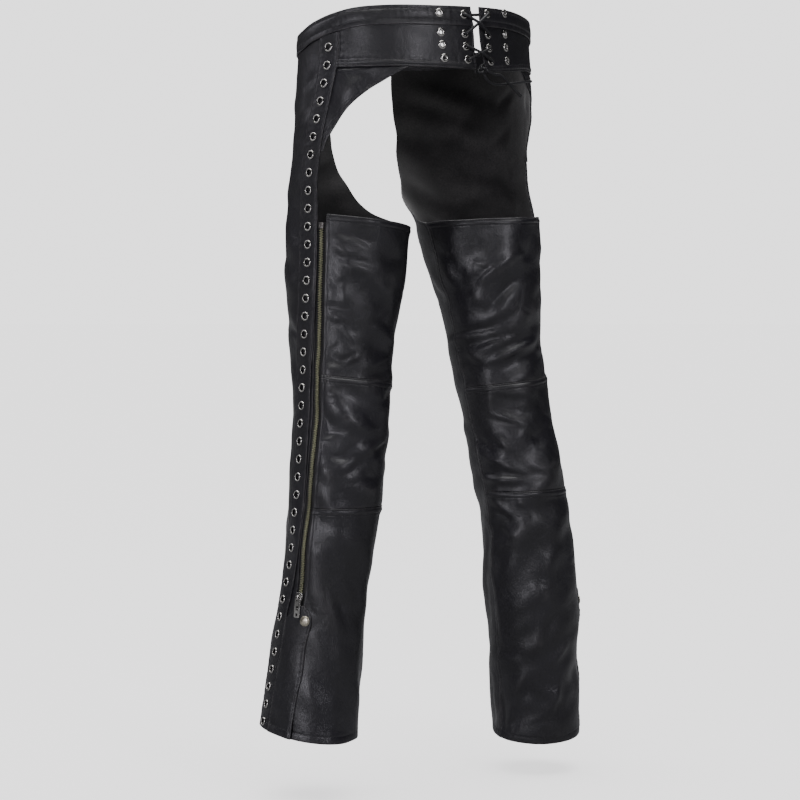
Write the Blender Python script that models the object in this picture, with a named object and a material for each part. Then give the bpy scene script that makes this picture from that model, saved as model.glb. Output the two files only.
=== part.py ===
"""Leather chaps, worn: two leather legs open at the seat, hung from one belt.

Metres, +Z up. The wearer faces -Y and the wearer's left is +X. The origin is the middle of
the waist, at the height of the belt's upper edge at the sides. Every leather piece is a thin
wall between two lifts of one shared body surface, so the pieces follow each other with a
seam gap between them, and what lies on a panel is made from its points, moved out.
"""

import math
from collections import namedtuple

import bmesh
import bpy
from mathutils import Matrix, Vector

# ---- leather and gaps -------------------------------------------------------
LEATHER = 0.0016
BELT_THICKNESS = 0.0020
STRIP_THICKNESS = 0.0014
SEAM_GAP = 0.0003
OVERLAY = LEATHER + SEAM_GAP
BELT_TOP_LIFT = OVERLAY + BELT_THICKNESS
FLAP_LIFT = OVERLAY + 0.0002

# ---- cut of the panels ------------------------------------------------------
BELT_WIDTH = 0.0255
BELT_TUCK = 0.004
CROTCH = -0.263
STRIP_WIDTH = 0.030
STRIP_TOP_GAP = 0.0008
ZIP_OPENING = 0.013
ZIP_MARGIN = 0.006
TAPE_THICKNESS = 0.0010
TAPE_GAP = 0.0006
CHAIN_WIDTH = 0.0065
CHAIN_HEIGHT = 0.0025
INSEAM_ANGLE = 184.0
INSEAM_RADIUS = 0.070
ZIP_SIDE_ANGLE = 33.0
# Heights at which the upper and lower ends of long pieces read their angles.
WAIST_LEVEL = -0.030
YOKE_MIDDLE = -0.040
HEM_LEVEL = -0.950

# ---- body form: rows are read from the waist down ---------------------------
Hip = namedtuple("Hip", "height half_width half_depth")
HIPS = (
    Hip(0.030, 0.171, 0.127),
    Hip(0.000, 0.173, 0.129),
    Hip(-0.060, 0.176, 0.132),
    Hip(-0.150, 0.184, 0.134),
    Hip(-0.300, 0.192, 0.134),
)

# A leg section is an oval about its own centre. "out" is the distance of the centre from
# the middle of the body and "back" how far behind it lies.
Section = namedtuple("Section", "height out back half_width half_depth")
LEGS = {
    "left": (
        Section(0.030, 0.0850, 0.0000, 0.0860, 0.0900),
        Section(-0.060, 0.0880, 0.0000, 0.0860, 0.0900),
        Section(-0.150, 0.0960, -0.0040, 0.0860, 0.0900),
        Section(-0.270, 0.1070, -0.0150, 0.0820, 0.0850),
        Section(-0.310, 0.1100, -0.0145, 0.0810, 0.0840),
        Section(-0.380, 0.1170, -0.0130, 0.0740, 0.0770),
        Section(-0.450, 0.1240, -0.0075, 0.0665, 0.0695),
        Section(-0.520, 0.1310, 0.0000, 0.0630, 0.0660),
        Section(-0.600, 0.1395, 0.0020, 0.0615, 0.0645),
        Section(-0.680, 0.1470, 0.0005, 0.0590, 0.0620),
        Section(-0.750, 0.1540, -0.0060, 0.0560, 0.0590),
        Section(-0.800, 0.1590, -0.0105, 0.0570, 0.0610),
        Section(-0.860, 0.1650, -0.0135, 0.0600, 0.0650),
        Section(-0.970, 0.1760, -0.0180, 0.0630, 0.0690),
    ),
    "right": (
        Section(0.030, 0.0850, 0.0000, 0.0860, 0.0900),
        Section(-0.060, 0.0880, 0.0000, 0.0860, 0.0900),
        Section(-0.150, 0.0960, -0.0040, 0.0860, 0.0900),
        Section(-0.265, 0.1070, 0.0080, 0.0850, 0.0880),
        Section(-0.330, 0.1120, 0.0180, 0.0760, 0.0790),
        Section(-0.380, 0.1165, 0.0245, 0.0690, 0.0720),
        Section(-0.440, 0.1230, 0.0290, 0.0635, 0.0660),
        Section(-0.510, 0.1300, 0.0380, 0.0610, 0.0640),
        Section(-0.600, 0.1390, 0.0550, 0.0610, 0.0640),
        Section(-0.680, 0.1470, 0.0660, 0.0605, 0.0635),
        Section(-0.780, 0.1570, 0.0670, 0.0630, 0.0660),
        Section(-0.870, 0.1660, 0.0635, 0.0605, 0.0630),
        Section(-1.005, 0.1790, 0.0545, 0.0600, 0.0630),
    ),
}
BLEND_TOP = -0.066
BLEND_END = -0.270

# The belt's upper edge by the turn round the waist: -90 is the front, 0 the side, 90 the back.
Edge = namedtuple("Edge", "turn height")
BELT_TOPS = {
    "left": (
        Edge(-90, -0.0200),
        Edge(-45, -0.0165),
        Edge(-15, -0.0115),
        Edge(0, -0.0020),
        Edge(15, 0.0068),
        Edge(30, 0.0132),
        Edge(48, 0.0159),
        Edge(68, 0.0168),
        Edge(90, 0.0188),
    ),
    "right": (
        Edge(-90, -0.0200),
        Edge(-45, -0.0165),
        Edge(-15, -0.0110),
        Edge(0, -0.0020),
        Edge(15, 0.0062),
        Edge(30, 0.0120),
        Edge(48, 0.0163),
        Edge(70, 0.0198),
        Edge(90, 0.0192),
    ),
}

# The laced opening behind: it leans, and the laces draw it in at half height.
Opening = namedtuple("Opening", "height middle half_gap")
OPENING = (
    Opening(0.0200, 0.0075, 0.0072),
    Opening(0.0050, 0.0060, 0.0062),
    Opening(-0.0170, 0.0038, 0.0052),
    Opening(-0.0350, 0.0024, 0.0060),
    Opening(-0.0640, -0.0022, 0.0082),
)
# The right half is drawn down at the lacing, so that its hem rises to the side.
Hang = namedtuple("Hang", "hem tilt start reach")
YOKES = {"left": Hang(-0.0645, 0.0, 0.0, 0.0), "right": Hang(-0.0667, 0.110, 0.014, 0.095)}

# ---- lines drawn on the body: angles in degrees, 0 outwards, + to the back --
Line = namedtuple("Line", "height angle")
STRIP_LINE = (
    Line(0.020, 18.0),
    Line(-0.060, 17.5),
    Line(-0.110, 13.5),
    Line(-0.165, 9.0),
    Line(-0.210, 9.2),
    Line(-0.280, 13.2),
    Line(-0.350, 12.6),
    Line(-0.420, 8.0),
    Line(-0.500, -1.0),
    Line(-0.600, -2.2),
    Line(-0.700, -6.0),
    Line(-0.770, -12.0),
    Line(-0.840, -12.8),
    Line(-0.900, -16.5),
    Line(-1.000, -20.0),
)
ZIP_LINE = (
    Line(0.020, 32.0),
    Line(-0.060, 31.6),
    Line(-0.110, 27.4),
    Line(-0.165, 22.9),
    Line(-0.210, 23.0),
    Line(-0.260, 26.8),
    Line(-0.320, 27.6),
    Line(-0.390, 27.2),
    Line(-0.450, 25.0),
    Line(-0.510, 21.5),
    Line(-0.570, 20.8),
    Line(-0.630, 18.2),
    Line(-0.700, 16.8),
    Line(-0.760, 19.6),
    Line(-0.830, 19.0),
    Line(-1.000, 18.0),
)
SEAT_LINE = (
    Line(-0.0615, 85.5),
    Line(-0.0830, 65.9),
    Line(-0.0945, 55.5),
    Line(-0.1125, 43.6),
    Line(-0.1370, 31.8),
    Line(-0.1600, 23.5),
    Line(-0.1770, 20.8),
)
LAP_LINE = (
    Line(-0.7770, 27.0),
    Line(-0.7815, 33.5),
    Line(-0.7880, 38.6),
    Line(-0.7960, 41.2),
    Line(-0.8050, 41.4),
    Line(-0.8160, 39.2),
    Line(-0.8300, 37.3),
    Line(-0.8500, 37.4),
    Line(-0.8720, 37.4),
    Line(-0.8900, 35.2),
    Line(-0.9100, 33.4),
    Line(-0.9400, 32.4),
    Line(-1.0000, 32.0),
)
# The open front edge of a front panel, from the belt round to the crotch.
Bay = namedtuple("Bay", "share angle height")
FRONT_BAY = (
    Bay(0.00, -103.0, -0.050),
    Bay(0.17, -104.0, -0.096),
    Bay(0.34, -107.0, -0.142),
    Bay(0.51, -114.0, -0.183),
    Bay(0.67, -126.0, -0.219),
    Bay(0.84, -147.0, -0.248),
    Bay(1.00, -176.0, -0.263),
)
CROTCH_ROW = 9
STRAIGHTEN_ROWS = 8
# The lengths of a front panel, and the rows of its grid at which they meet.
FRONT_LENGTHS = ("upper", "middle", "lower")
FRONT_JOINS = (10, 19)
HIP_PANEL_TIP = -0.1745
ZIP_TOP = -0.2590
ZIP_END = -0.7700
TAPE_TAIL = 0.018

# The vent flap: its rounded top slopes from a shoulder at the zip into the lap line.
FLAP_SHOULDER = -0.790
FLAP_CORNER = 0.002
FLAP_SLOPE = 0.6
FLAP_ROUND_END = -0.840
FLAP_STEP = 0.020

# Heights of the cross seams of each leg, at the zip and at the inseam.
Seams = namedtuple("Seams", "thigh_zip thigh_inseam knee_zip knee_inseam calf_zip calf_inseam")
CROSS_SEAMS = {
    "left": Seams(-0.257, -0.279, -0.470, -0.489, -0.647, -0.647),
    "right": Seams(-0.253, -0.263, -0.4755, -0.493, -0.633, -0.637),
}
# The hem dips towards the heel, lowest at low_angle.
Hem = namedtuple("Hem", "height dip low_angle")
HEMS = {"left": Hem(-0.9505, 0.0105, 107.0), "right": Hem(-0.9830, 0.0110, 125.0)}

# ---- grids: rows are this far apart, and each piece has so many cells across -
ROW_STEP = 0.034
LEG_TOP_ROW = -0.050
LEG_LAST_ROW = -0.925
FRONT_CELLS = 8
BACK_CELLS = 8
YOKE_CELLS = 16
HIP_CELLS = 6
HIP_ROWS = 8
STRIP_CELLS = 3
FLAP_CELLS = 4
BELT_STEP = 0.012
WAIST_RADIUS = 0.150

# ---- hardware ---------------------------------------------------------------
EYELET_HOLE = 0.0026
EYELET_BARREL = 0.0030
EYELET_FLANGE = 0.0059
EYELET_HEIGHT = 0.0012
EYELET_SIDES = 10
EYELET_COLUMNS = (0.0203, 0.0560)
EYELET_ROWS = {
    "left": (0.0068, -0.0182, -0.0346, -0.0520),
    "right": (0.0110, -0.0164, -0.0340, -0.0517),
}
EYELET_DRILL = (-0.004, 0.008)
LACE = 0.0038
LACE_BEND = 0.0027
LACE_BEHIND = 0.0007
LACE_END_POINTS = 22
# A crossing stands off more over the belt's edge than lower down.
CROSSING_LIFT = {0: 0.0014, 2: -0.0004}
KNOT_SIZE = (0.0140, 0.0130, 0.0085)
KNOT_PLACE = (0.0008, -0.0648)
KNOT_LEAN = 14.0
# Where the lace goes: place across (+ to the wearer's left), height and lift from the waist.
Stop = namedtuple("Stop", "x height lift")
# Its two tails come up behind the knot.
LACE_TAILS = {
    "left": (Stop(0.0070, -0.0590, -0.0032), Stop(0.0044, -0.0672, -0.0022), Stop(0.0044, -0.0676, 0.0004)),
    "right": (Stop(-0.0054, -0.0590, -0.0032), Stop(-0.0034, -0.0672, -0.0022),
              Stop(-0.0034, -0.0676, 0.0004)),
}
LACE_ENDS = {
    "long": (
        Stop(-0.0045, -0.0690, 0.0044), Stop(-0.0080, -0.0752, 0.0044), Stop(-0.0150, -0.0800, 0.0042),
        Stop(-0.0240, -0.0818, 0.0040), Stop(-0.0350, -0.0819, 0.0040), Stop(-0.0524, -0.0793, 0.0040),
        Stop(-0.0693, -0.0771, 0.0040), Stop(-0.0953, -0.0730, 0.0042), Stop(-0.1230, -0.0690, 0.0045),
    ),
    "short": (
        Stop(-0.0070, -0.0650, 0.0060), Stop(-0.0130, -0.0672, 0.0065), Stop(-0.0230, -0.0692, 0.0062),
        Stop(-0.0330, -0.0696, 0.0068), Stop(-0.0408, -0.0745, 0.0084), Stop(-0.0485, -0.0800, 0.0088),
        Stop(-0.0580, -0.0849, 0.0082), Stop(-0.0706, -0.0895, 0.0062), Stop(-0.0827, -0.0936, 0.0050),
    ),
}
SNAP_RADIUS = 0.0070
SNAP_HEIGHT = 0.0026
SNAP_ANGLE = 33.0
SNAP_PLACE = -0.7966
SLIDER_LENGTH = 0.013
SLIDER_WIDTH = 0.0105
SLIDER_THICKNESS = 0.0021
SLIDER_PLACE = -0.7660
BAIL_WIDTH = 0.0030
BAIL_WALL = 0.0011
BAIL_OPENING = 0.0042
BAIL_CLEAR = 0.0029
PULL_LENGTH = 0.0280
PULL_WIDTH = 0.0090
PULL_THICKNESS = 0.0012
PULL_BAR = 0.0020
PULL_EYE = (0.0046, 0.0038)
PULL_HOLE = 0.0013
PULL_LEAN = 4.0
PULL_HOLES = (0.0108, 0.0212)
CUT_REACH = 0.003
ZIP_BOX = (0.0090, 0.0095, 0.0032)
CHAIN_TOP = ZIP_TOP - ZIP_BOX[1] - 2 * SEAM_GAP
BUCKLE_BAR = 0.0012
BUCKLE_HEIGHT = 0.0350
BUCKLE_LENGTH = 0.0250
BUCKLE_TILT = 8.0
BUCKLE_SEAT = 0.0005
PRONG_WIDTH = 0.0024
PRONG_THICKNESS = 0.0016
PRONG_SLOT = (0.0100, 0.0036)
# At the front a radian of turn is this many metres of belt.
FRONT_REACH = 0.175
FRONT_TURN = -math.pi / 2
BELT_TIP = 0.0800
TIP_STEPS = (0.12, 0.30, 0.60)
TIP_BLUNTNESS = 0.12
LEFT_END_GAP = 0.0016
# The right half rises over the buckle's heel bar and lies down again on the left half.
RISE_START = -0.034
RISE_END = -0.006
FALL_START = 0.004
FALL_END = 0.016
KEEPER_PLACE = 0.0400
KEEPER_WIDTH = 0.0090
KEEPER_MARGIN = 0.0008
KEEPER_SLACK = 0.0012
KEEPER_THICKNESS = 0.0012

SIDES = ("left", "right")
MIRROR = {"left": 1.0, "right": -1.0}


# ---- small helpers ----------------------------------------------------------
def clear_scene():
    for item in list(bpy.data.objects):
        bpy.data.objects.remove(item, do_unlink=True)


def make_material(name, colour, roughness, metallic=0.0):
    material = bpy.data.materials.new(name)
    material.use_nodes = True
    shader = material.node_tree.nodes["Principled BSDF"]
    shader.inputs["Base Color"].default_value = (*colour, 1.0)
    shader.inputs["Roughness"].default_value = roughness
    shader.inputs["Metallic"].default_value = metallic
    material.diffuse_color = (*colour, 1.0)
    return material


def read_rows(rows, height):
    """The columns of a table at a height, or at another first column: a smooth curve."""
    rows = sorted(rows)
    if height <= rows[0][0]:
        return rows[0][1:]
    if height >= rows[-1][0]:
        return rows[-1][1:]
    last = len(rows) - 1
    low = max(i for i in range(last) if rows[i][0] <= height)
    span = rows[low + 1][0] - rows[low][0]
    share = (height - rows[low][0]) / span

    def slope(index, column):
        before = rows[max(index - 1, 0)]
        after = rows[min(index + 1, last)]
        return (after[column] - before[column]) / (after[0] - before[0])

    values = []
    for column in range(1, len(rows[0])):
        start, end = rows[low][column], rows[low + 1][column]
        lean_in, lean_out = slope(low, column) * span, slope(low + 1, column) * span
        cube, square = share**3, share**2
        values.append(
            (2 * cube - 3 * square + 1) * start
            + (cube - 2 * square + share) * lean_in
            + (3 * square - 2 * cube) * end
            + (cube - square) * lean_out
        )
    return values


def ease(share):
    share = min(1.0, max(0.0, share))
    return share * share * (3 - 2 * share)


def steps_between(start, end, step):
    """Evenly spaced values from start to end, at most one step apart."""
    count = max(1, math.ceil(abs(end - start) / step))
    return [start + (end - start) * i / count for i in range(count + 1)]


# ---- the body surface -------------------------------------------------------
def leg_form(side, angle, height):
    """A point of the leather's inner face: the leg's oval, led into the hips above it."""
    out, back, half_width, half_depth = read_rows(LEGS[side], height)
    across, along = math.cos(angle), math.sin(angle)
    reach = 1 / math.hypot(across / half_width, along / half_depth)
    leg_share = ease((BLEND_TOP - height) / (BLEND_TOP - BLEND_END))
    if leg_share < 1:
        wide, deep = read_rows(HIPS, height)
        square = (across / wide) ** 2 + (along / deep) ** 2
        linear = out * across / wide**2 + back * along / deep**2
        rest = (out / wide) ** 2 + (back / deep) ** 2 - 1
        to_hips = (-linear + math.sqrt(max(0.0, linear**2 - square * rest))) / square
        reach = (1 - leg_share) * to_hips + leg_share * reach
    return Vector((MIRROR[side] * (out + reach * across), back + reach * along, height))


def lifted(form, side, turn, height, lift):
    """A point of a form moved outwards along its normal."""
    point = form(side, turn, height)
    tiny = 1e-4
    around = form(side, turn + tiny, height) - form(side, turn - tiny, height)
    upward = form(side, turn, height + tiny) - form(side, turn, height - tiny)
    normal = around.cross(upward).normalized() * MIRROR[side]
    return point + normal * lift


def waist_form(side, turn, height):
    """A point of the waist: turn 0 is the side, 90 degrees the middle of the back."""
    wide, deep = read_rows(HIPS, height)
    return Vector((MIRROR[side] * wide * math.cos(turn), deep * math.sin(turn), height))


def arc_angle(side, angle, height, distance):
    """The angle that lies a distance further round the leg, in metres on the leather."""
    for _ in range(4):
        tiny = 1e-3
        speed = (leg_form(side, angle + tiny, height) - leg_form(side, angle, height)).length / tiny
        angle += distance / 4 / speed
    return angle


def waist_turn(side, x, height):
    """The turn at the back of the waist of a place x, + to the wearer's left."""
    return math.acos(MIRROR[side] * x / read_rows(HIPS, height)[0])


def opening_turn(side, height, distance=None):
    """The turn of the half's back edge, or of a place a distance from the opening's middle."""
    middle, half_gap = read_rows(OPENING, height)
    return waist_turn(side, middle + MIRROR[side] * (half_gap if distance is None else distance), height)


def belt_top(side, turn):
    """The belt is worn lower in front than behind."""
    return read_rows(BELT_TOPS[side], math.degrees(turn))[0]


def yoke_hem(side, turn):
    hang = YOKES[side]
    aside = read_rows(HIPS, hang.hem)[0] * math.cos(turn)
    return hang.hem + hang.tilt * min(hang.reach, max(0.0, aside - hang.start))


def turn_of(side, angle, height):
    """The waist turn of a place on the leg form."""
    point = leg_form(side, angle, height)
    wide, deep = read_rows(HIPS, height)
    return math.atan2(point.y / deep, MIRROR[side] * point.x / wide)


def belt_edge_height(side, angle):
    """The belt's lower edge above a place on the leg form."""
    return belt_top(side, turn_of(side, angle, WAIST_LEVEL)) - BELT_WIDTH


def strip_angle(side, height, distance=0.0):
    angle = math.radians(read_rows(STRIP_LINE, height)[0])
    return arc_angle(side, angle, height, distance)


def zip_angle(side, height, distance=0.0):
    angle = math.radians(read_rows(ZIP_LINE, height)[0])
    return arc_angle(side, angle, height, distance)


def hem_height(side, angle):
    hem = HEMS[side]
    return hem.height - hem.dip * math.cos(angle - math.radians(hem.low_angle))


def seam_height(side, angle, zip_height, inseam_height):
    """A cross seam slopes from the zip to the inseam."""
    start, end = math.radians(ZIP_SIDE_ANGLE), math.radians(INSEAM_ANGLE)
    share = min(1.0, max(0.0, (angle - start) / (end - start)))
    return zip_height + (inseam_height - zip_height) * share


# ---- meshes -----------------------------------------------------------------
def make_object(name, mesh_parts, material):
    points, faces = mesh_parts
    mesh = bpy.data.meshes.new(name)
    mesh.from_pydata(points, [], faces)
    shape = bmesh.new()
    shape.from_mesh(mesh)
    bmesh.ops.recalc_face_normals(shape, faces=shape.faces)
    shape.to_mesh(mesh)
    shape.free()
    mesh.materials.append(material)
    item = bpy.data.objects.new(name, mesh)
    bpy.context.scene.collection.objects.link(item)
    return item


def wall(inner, outer):
    """A closed wall between two grids of points with the same rows and columns."""
    rows, columns = len(inner), len(inner[0])
    points = [p for row in inner for p in row] + [p for row in outer for p in row]
    shift = rows * columns

    def at(row, column, layer):
        return row * columns + column + layer * shift

    faces = []
    for r in range(rows - 1):
        for c in range(columns - 1):
            falling = (outer[r + 1][c + 1] - outer[r][c]).length
            rising = (outer[r + 1][c] - outer[r][c + 1]).length
            for layer in (0, 1):
                a, b = at(r, c, layer), at(r, c + 1, layer)
                d, e = at(r + 1, c, layer), at(r + 1, c + 1, layer)
                faces += [(a, b, e), (a, e, d)] if falling <= rising else [(a, b, d), (b, e, d)]
    for r in range(rows - 1):
        for c in (0, columns - 1):
            faces.append((at(r, c, 0), at(r + 1, c, 0), at(r + 1, c, 1), at(r, c, 1)))
    for c in range(columns - 1):
        for r in (0, rows - 1):
            faces.append((at(r, c, 0), at(r, c + 1, 0), at(r, c + 1, 1), at(r, c, 1)))
    return points, faces


def panel(name, side, places, low, high, material, form=leg_form):
    """A leather piece from its grid of (angle, height) places, between two lifts."""
    layers = [[[lifted(form, side, turn, height, lift) for turn, height in row] for row in places]
              for lift in (low, high)]
    return make_object(name, wall(*layers), material)


def prism(outline, low, high):
    """A closed prism over an outline of (across, along) points, between two lifts."""
    count = len(outline)
    points = [(x, y, z) for z in (low, high) for x, y in outline]
    faces = [tuple(range(count)), tuple(range(count, 2 * count))]
    faces += [(i, (i + 1) % count, count + (i + 1) % count, count + i) for i in range(count)]
    return points, faces


def turned(profile, sides, closed):
    """A solid turned about Z from (radius, height) points; closed makes a ring."""
    count = len(profile)
    points = []
    for i in range(sides):
        turn = 2 * math.pi * i / sides
        points += [(r * math.cos(turn), r * math.sin(turn), z) for r, z in profile]
    faces = []
    for i in range(sides):
        here, there = i * count, (i + 1) % sides * count
        for k in range(count if closed else count - 1):
            after = (k + 1) % count
            faces.append((here + k, there + k, there + after, here + after))
    if not closed:
        faces.append(tuple(i * count for i in range(sides)))
        faces.append(tuple(i * count + count - 1 for i in range(sides)))
    return points, faces


def rounded_rectangle(width, length, radius, start=0.0, corner_steps=3):
    """An outline of (across, along) points whose near edge is at start."""
    points = []
    corners = ((1, 1, 0), (-1, 1, 90), (-1, 0, 180), (1, 0, 270))
    for across, far, first in corners:
        centre_x = across * (width / 2 - radius)
        centre_y = start + (length - radius if far else radius)
        for step in range(corner_steps + 1):
            turn = math.radians(first + 90 * step / corner_steps)
            points.append((centre_x + radius * math.cos(turn), centre_y + radius * math.sin(turn)))
    return points


def surface_frame(form, side, turn, height, lean=0.0):
    """Axes on the leather: X across, Y down the leg, Z outwards; the origin on the inner face."""
    point = form(side, turn, height)
    normal = (lifted(form, side, turn, height, 1.0) - point).normalized()
    down = (form(side, turn, height - 1e-3) - point).normalized()
    down = (down - normal * down.dot(normal)).normalized()
    down.rotate(Matrix.Rotation(lean, 3, normal))
    across = down.cross(normal)
    frame = Matrix((across, down, normal)).transposed().to_4x4()
    frame.translation = point
    return frame


def place(item, frame):
    item.matrix_world = frame
    return item


def cutter(name, mesh_parts, frame=None):
    item = make_object(name, mesh_parts, bpy.data.materials["leather"])
    item.hide_render = True
    item.display_type = "WIRE"
    if frame is not None:
        item.matrix_world = frame
    return item


def cut(item, tool, operation="DIFFERENCE"):
    modifier = item.modifiers.new(tool.name, "BOOLEAN")
    modifier.object = tool
    modifier.operation = operation
    modifier.solver = "EXACT"


def joined(shapes):
    """Several closed shapes as one list of points and faces."""
    points, faces = [], []
    for part_points, part_faces in shapes:
        shift = len(points)
        points += list(part_points)
        faces += [tuple(i + shift for i in face) for face in part_faces]
    return points, faces


def moved(mesh_parts, frame):
    points, faces = mesh_parts
    return [frame @ Vector(p) for p in points], faces


# ---- leather pieces ---------------------------------------------------------
def leg_heights():
    """The heights of the rows that all long pieces of a leg share."""
    upper = steps_between(LEG_TOP_ROW, CROTCH, ROW_STEP)
    lower = steps_between(CROTCH, LEG_LAST_ROW, ROW_STEP)
    return upper + lower[1:]


def front_leg(side, material):
    """One piece of hide from belt to hem, from the side seam round the front to the inseam.

    It is built in three lengths that meet without a seam, so that each stays open inside.
    """
    heights = leg_heights()
    inseam = math.radians(INSEAM_ANGLE - 360)
    drop = read_rows(FRONT_BAY, 1)[1] - heights[CROTCH_ROW]

    def side_columns(height):
        rear = zip_angle(side, height, -ZIP_OPENING / 2)
        if height > ZIP_TOP:
            rear = min(rear, strip_angle(side, height, STRIP_WIDTH / 2))
        return [rear, arc_angle(side, rear, height, -ZIP_MARGIN), strip_angle(side, height),
                strip_angle(side, height, -STRIP_WIDTH / 2)]

    def full_row(row, height):
        """The rows bend down round the open bay, and straighten again below the crotch."""
        if row <= CROTCH_ROW:
            edge, edge_height = read_rows(FRONT_BAY, row / CROTCH_ROW)
            edge = math.radians(edge)
        else:
            straighten = ease((row - CROTCH_ROW) / STRAIGHTEN_ROWS)
            edge, edge_height = inseam, height + drop * (1 - straighten)
        columns = side_columns(height)
        fore = columns[-1]
        shares = [(i + 1) / FRONT_CELLS for i in range(FRONT_CELLS)]
        return [(angle, height) for angle in columns] + [
            (fore + (edge - fore) * share, height + (edge_height - height) * share**2)
            for share in shares]

    places = [full_row(row, height) for row, height in enumerate(heights)]
    top = [(angle, belt_edge_height(side, angle) + BELT_TUCK) for angle, _ in places[0]]
    hem = [(angle, hem_height(side, angle)) for angle, _ in full_row(len(heights), HEM_LEVEL)]
    rows = [top, *places, hem]
    starts, ends = (0, *FRONT_JOINS), (*FRONT_JOINS, len(rows) - 1)
    for label, start, end in zip(FRONT_LENGTHS, starts, ends):
        gap = SEAM_GAP if start else 0.0
        first = [(angle, height - gap) for angle, height in rows[start]]
        length = [first, *rows[start + 1:end + 1]]
        panel(f"front_leg_{label}_{side}", side, length, 0.0, LEATHER, material)


def side_strip(side, material):
    def columns(height):
        return [strip_angle(side, height, STRIP_WIDTH * (0.5 - i / STRIP_CELLS))
                for i in range(STRIP_CELLS + 1)]

    places = [[(angle, belt_edge_height(side, angle) - STRIP_TOP_GAP) for angle in columns(WAIST_LEVEL)]]
    places += [[(angle, height) for angle in columns(height)] for height in leg_heights()]
    places.append([(angle, hem_height(side, angle)) for angle in columns(HEM_LEVEL)])
    return panel(f"side_strip_{side}", side, places, OVERLAY, OVERLAY + STRIP_THICKNESS, material)


def yoke(side, material):
    """The wide band below the belt, with the holes of its eyelets."""
    rear_of_strip = strip_angle(side, YOKE_MIDDLE, STRIP_WIDTH / 2 + SEAM_GAP)
    start = turn_of(side, rear_of_strip, YOKE_MIDDLE)
    places = []
    for share in (0.0, 0.5, 1.0):
        row = []
        for i in range(YOKE_CELLS + 1):
            along = i / YOKE_CELLS
            turn = start + (opening_turn(side, YOKE_MIDDLE) - start) * along
            top = belt_top(side, turn) - BELT_WIDTH + BELT_TUCK
            height = top + (yoke_hem(side, turn) - top) * share
            row.append((start + (opening_turn(side, height) - start) * along, height))
        places.append(row)
    item = panel(f"yoke_{side}", side, places, 0.0, LEATHER, material, waist_form)
    cut(item, eyelet_holes(side, (1, 2, 3), "yoke", 0.0))
    return item


def hip_panel(side, material):
    """Under the yoke, cut away in a curve for the seat."""
    hem = YOKES[side].hem
    places = []
    for r in range(HIP_ROWS + 1):
        row = []
        for i in range(HIP_CELLS + 1):
            height = hem + (HIP_PANEL_TIP - hem) * r / HIP_ROWS
            for _ in range(4):
                start = strip_angle(side, height, STRIP_WIDTH / 2 + 3 * SEAM_GAP)
                end = math.radians(read_rows(SEAT_LINE, height)[0])
                angle = start + (end - start) * i / HIP_CELLS
                top = yoke_hem(side, turn_of(side, angle, height)) - SEAM_GAP
                height = top + (HIP_PANEL_TIP - top) * r / HIP_ROWS
            row.append((angle, height))
        places.append(row)
    return panel(f"hip_panel_{side}", side, places, 0.0, LEATHER, material)


def back_panel(name, side, upper, lower, material):
    """A back piece of the leg between two cross seams, given as functions of the angle."""
    def columns(height):
        edge = zip_angle(side, height, ZIP_OPENING / 2)
        margin = arc_angle(side, edge, height, ZIP_MARGIN)
        inseam = math.radians(INSEAM_ANGLE) - 2 * SEAM_GAP / INSEAM_RADIUS
        return [edge] + [margin + (inseam - margin) * i / BACK_CELLS for i in range(BACK_CELLS + 1)]

    first = math.radians(ZIP_SIDE_ANGLE)
    count = math.ceil((upper(first) - lower(first)) / ROW_STEP)
    places = []
    for r in range(count + 1):
        share = r / count
        middle = upper(first) + (lower(first) - upper(first)) * share
        row = []
        for angle in columns(middle):
            height = upper(angle) + (lower(angle) - upper(angle)) * share
            row.append((angle, height))
        places.append(row)
    return panel(f"{name}_{side}", side, places, 0.0, LEATHER, material)


def back_panels(side, material):
    seams = CROSS_SEAMS[side]

    def thigh_top(angle):
        return seam_height(side, angle, seams.thigh_zip, seams.thigh_inseam)

    def knee_top(angle):
        return seam_height(side, angle, seams.knee_zip, seams.knee_inseam)

    def calf_top(angle):
        return seam_height(side, angle, seams.calf_zip, seams.calf_inseam)

    back_panel("back_thigh", side, thigh_top, lambda a: knee_top(a) + SEAM_GAP, material)
    back_panel("back_knee", side, knee_top, lambda a: calf_top(a) + SEAM_GAP, material)
    back_panel("back_calf", side, calf_top, lambda a: hem_height(side, a), material)


def vent_flap(side, material):
    """Below the zip: a flap with a rounded top, lapped over the calf and held by the snap."""
    top = LAP_LINE[0].height
    heights = [line.height for line in LAP_LINE if line.height > FLAP_ROUND_END]
    heights += steps_between(FLAP_ROUND_END - FLAP_STEP / 2, LEG_LAST_ROW, FLAP_STEP)

    def row_angles(height):
        start = strip_angle(side, height, STRIP_WIDTH / 2 + SEAM_GAP)
        if height > FLAP_SHOULDER:
            start = zip_angle(side, height, -FLAP_CORNER - FLAP_SLOPE * (top - height))
        end = math.radians(read_rows(LAP_LINE, height)[0])
        return [start + (end - start) * i / FLAP_CELLS for i in range(FLAP_CELLS + 1)]

    places = [[(angle, height) for angle in row_angles(height)] for height in heights]
    places.append([(angle, hem_height(side, angle)) for angle in row_angles(HEM_LEVEL)])
    return panel(f"vent_flap_{side}", side, places, FLAP_LIFT, FLAP_LIFT + LEATHER, material)


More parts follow.
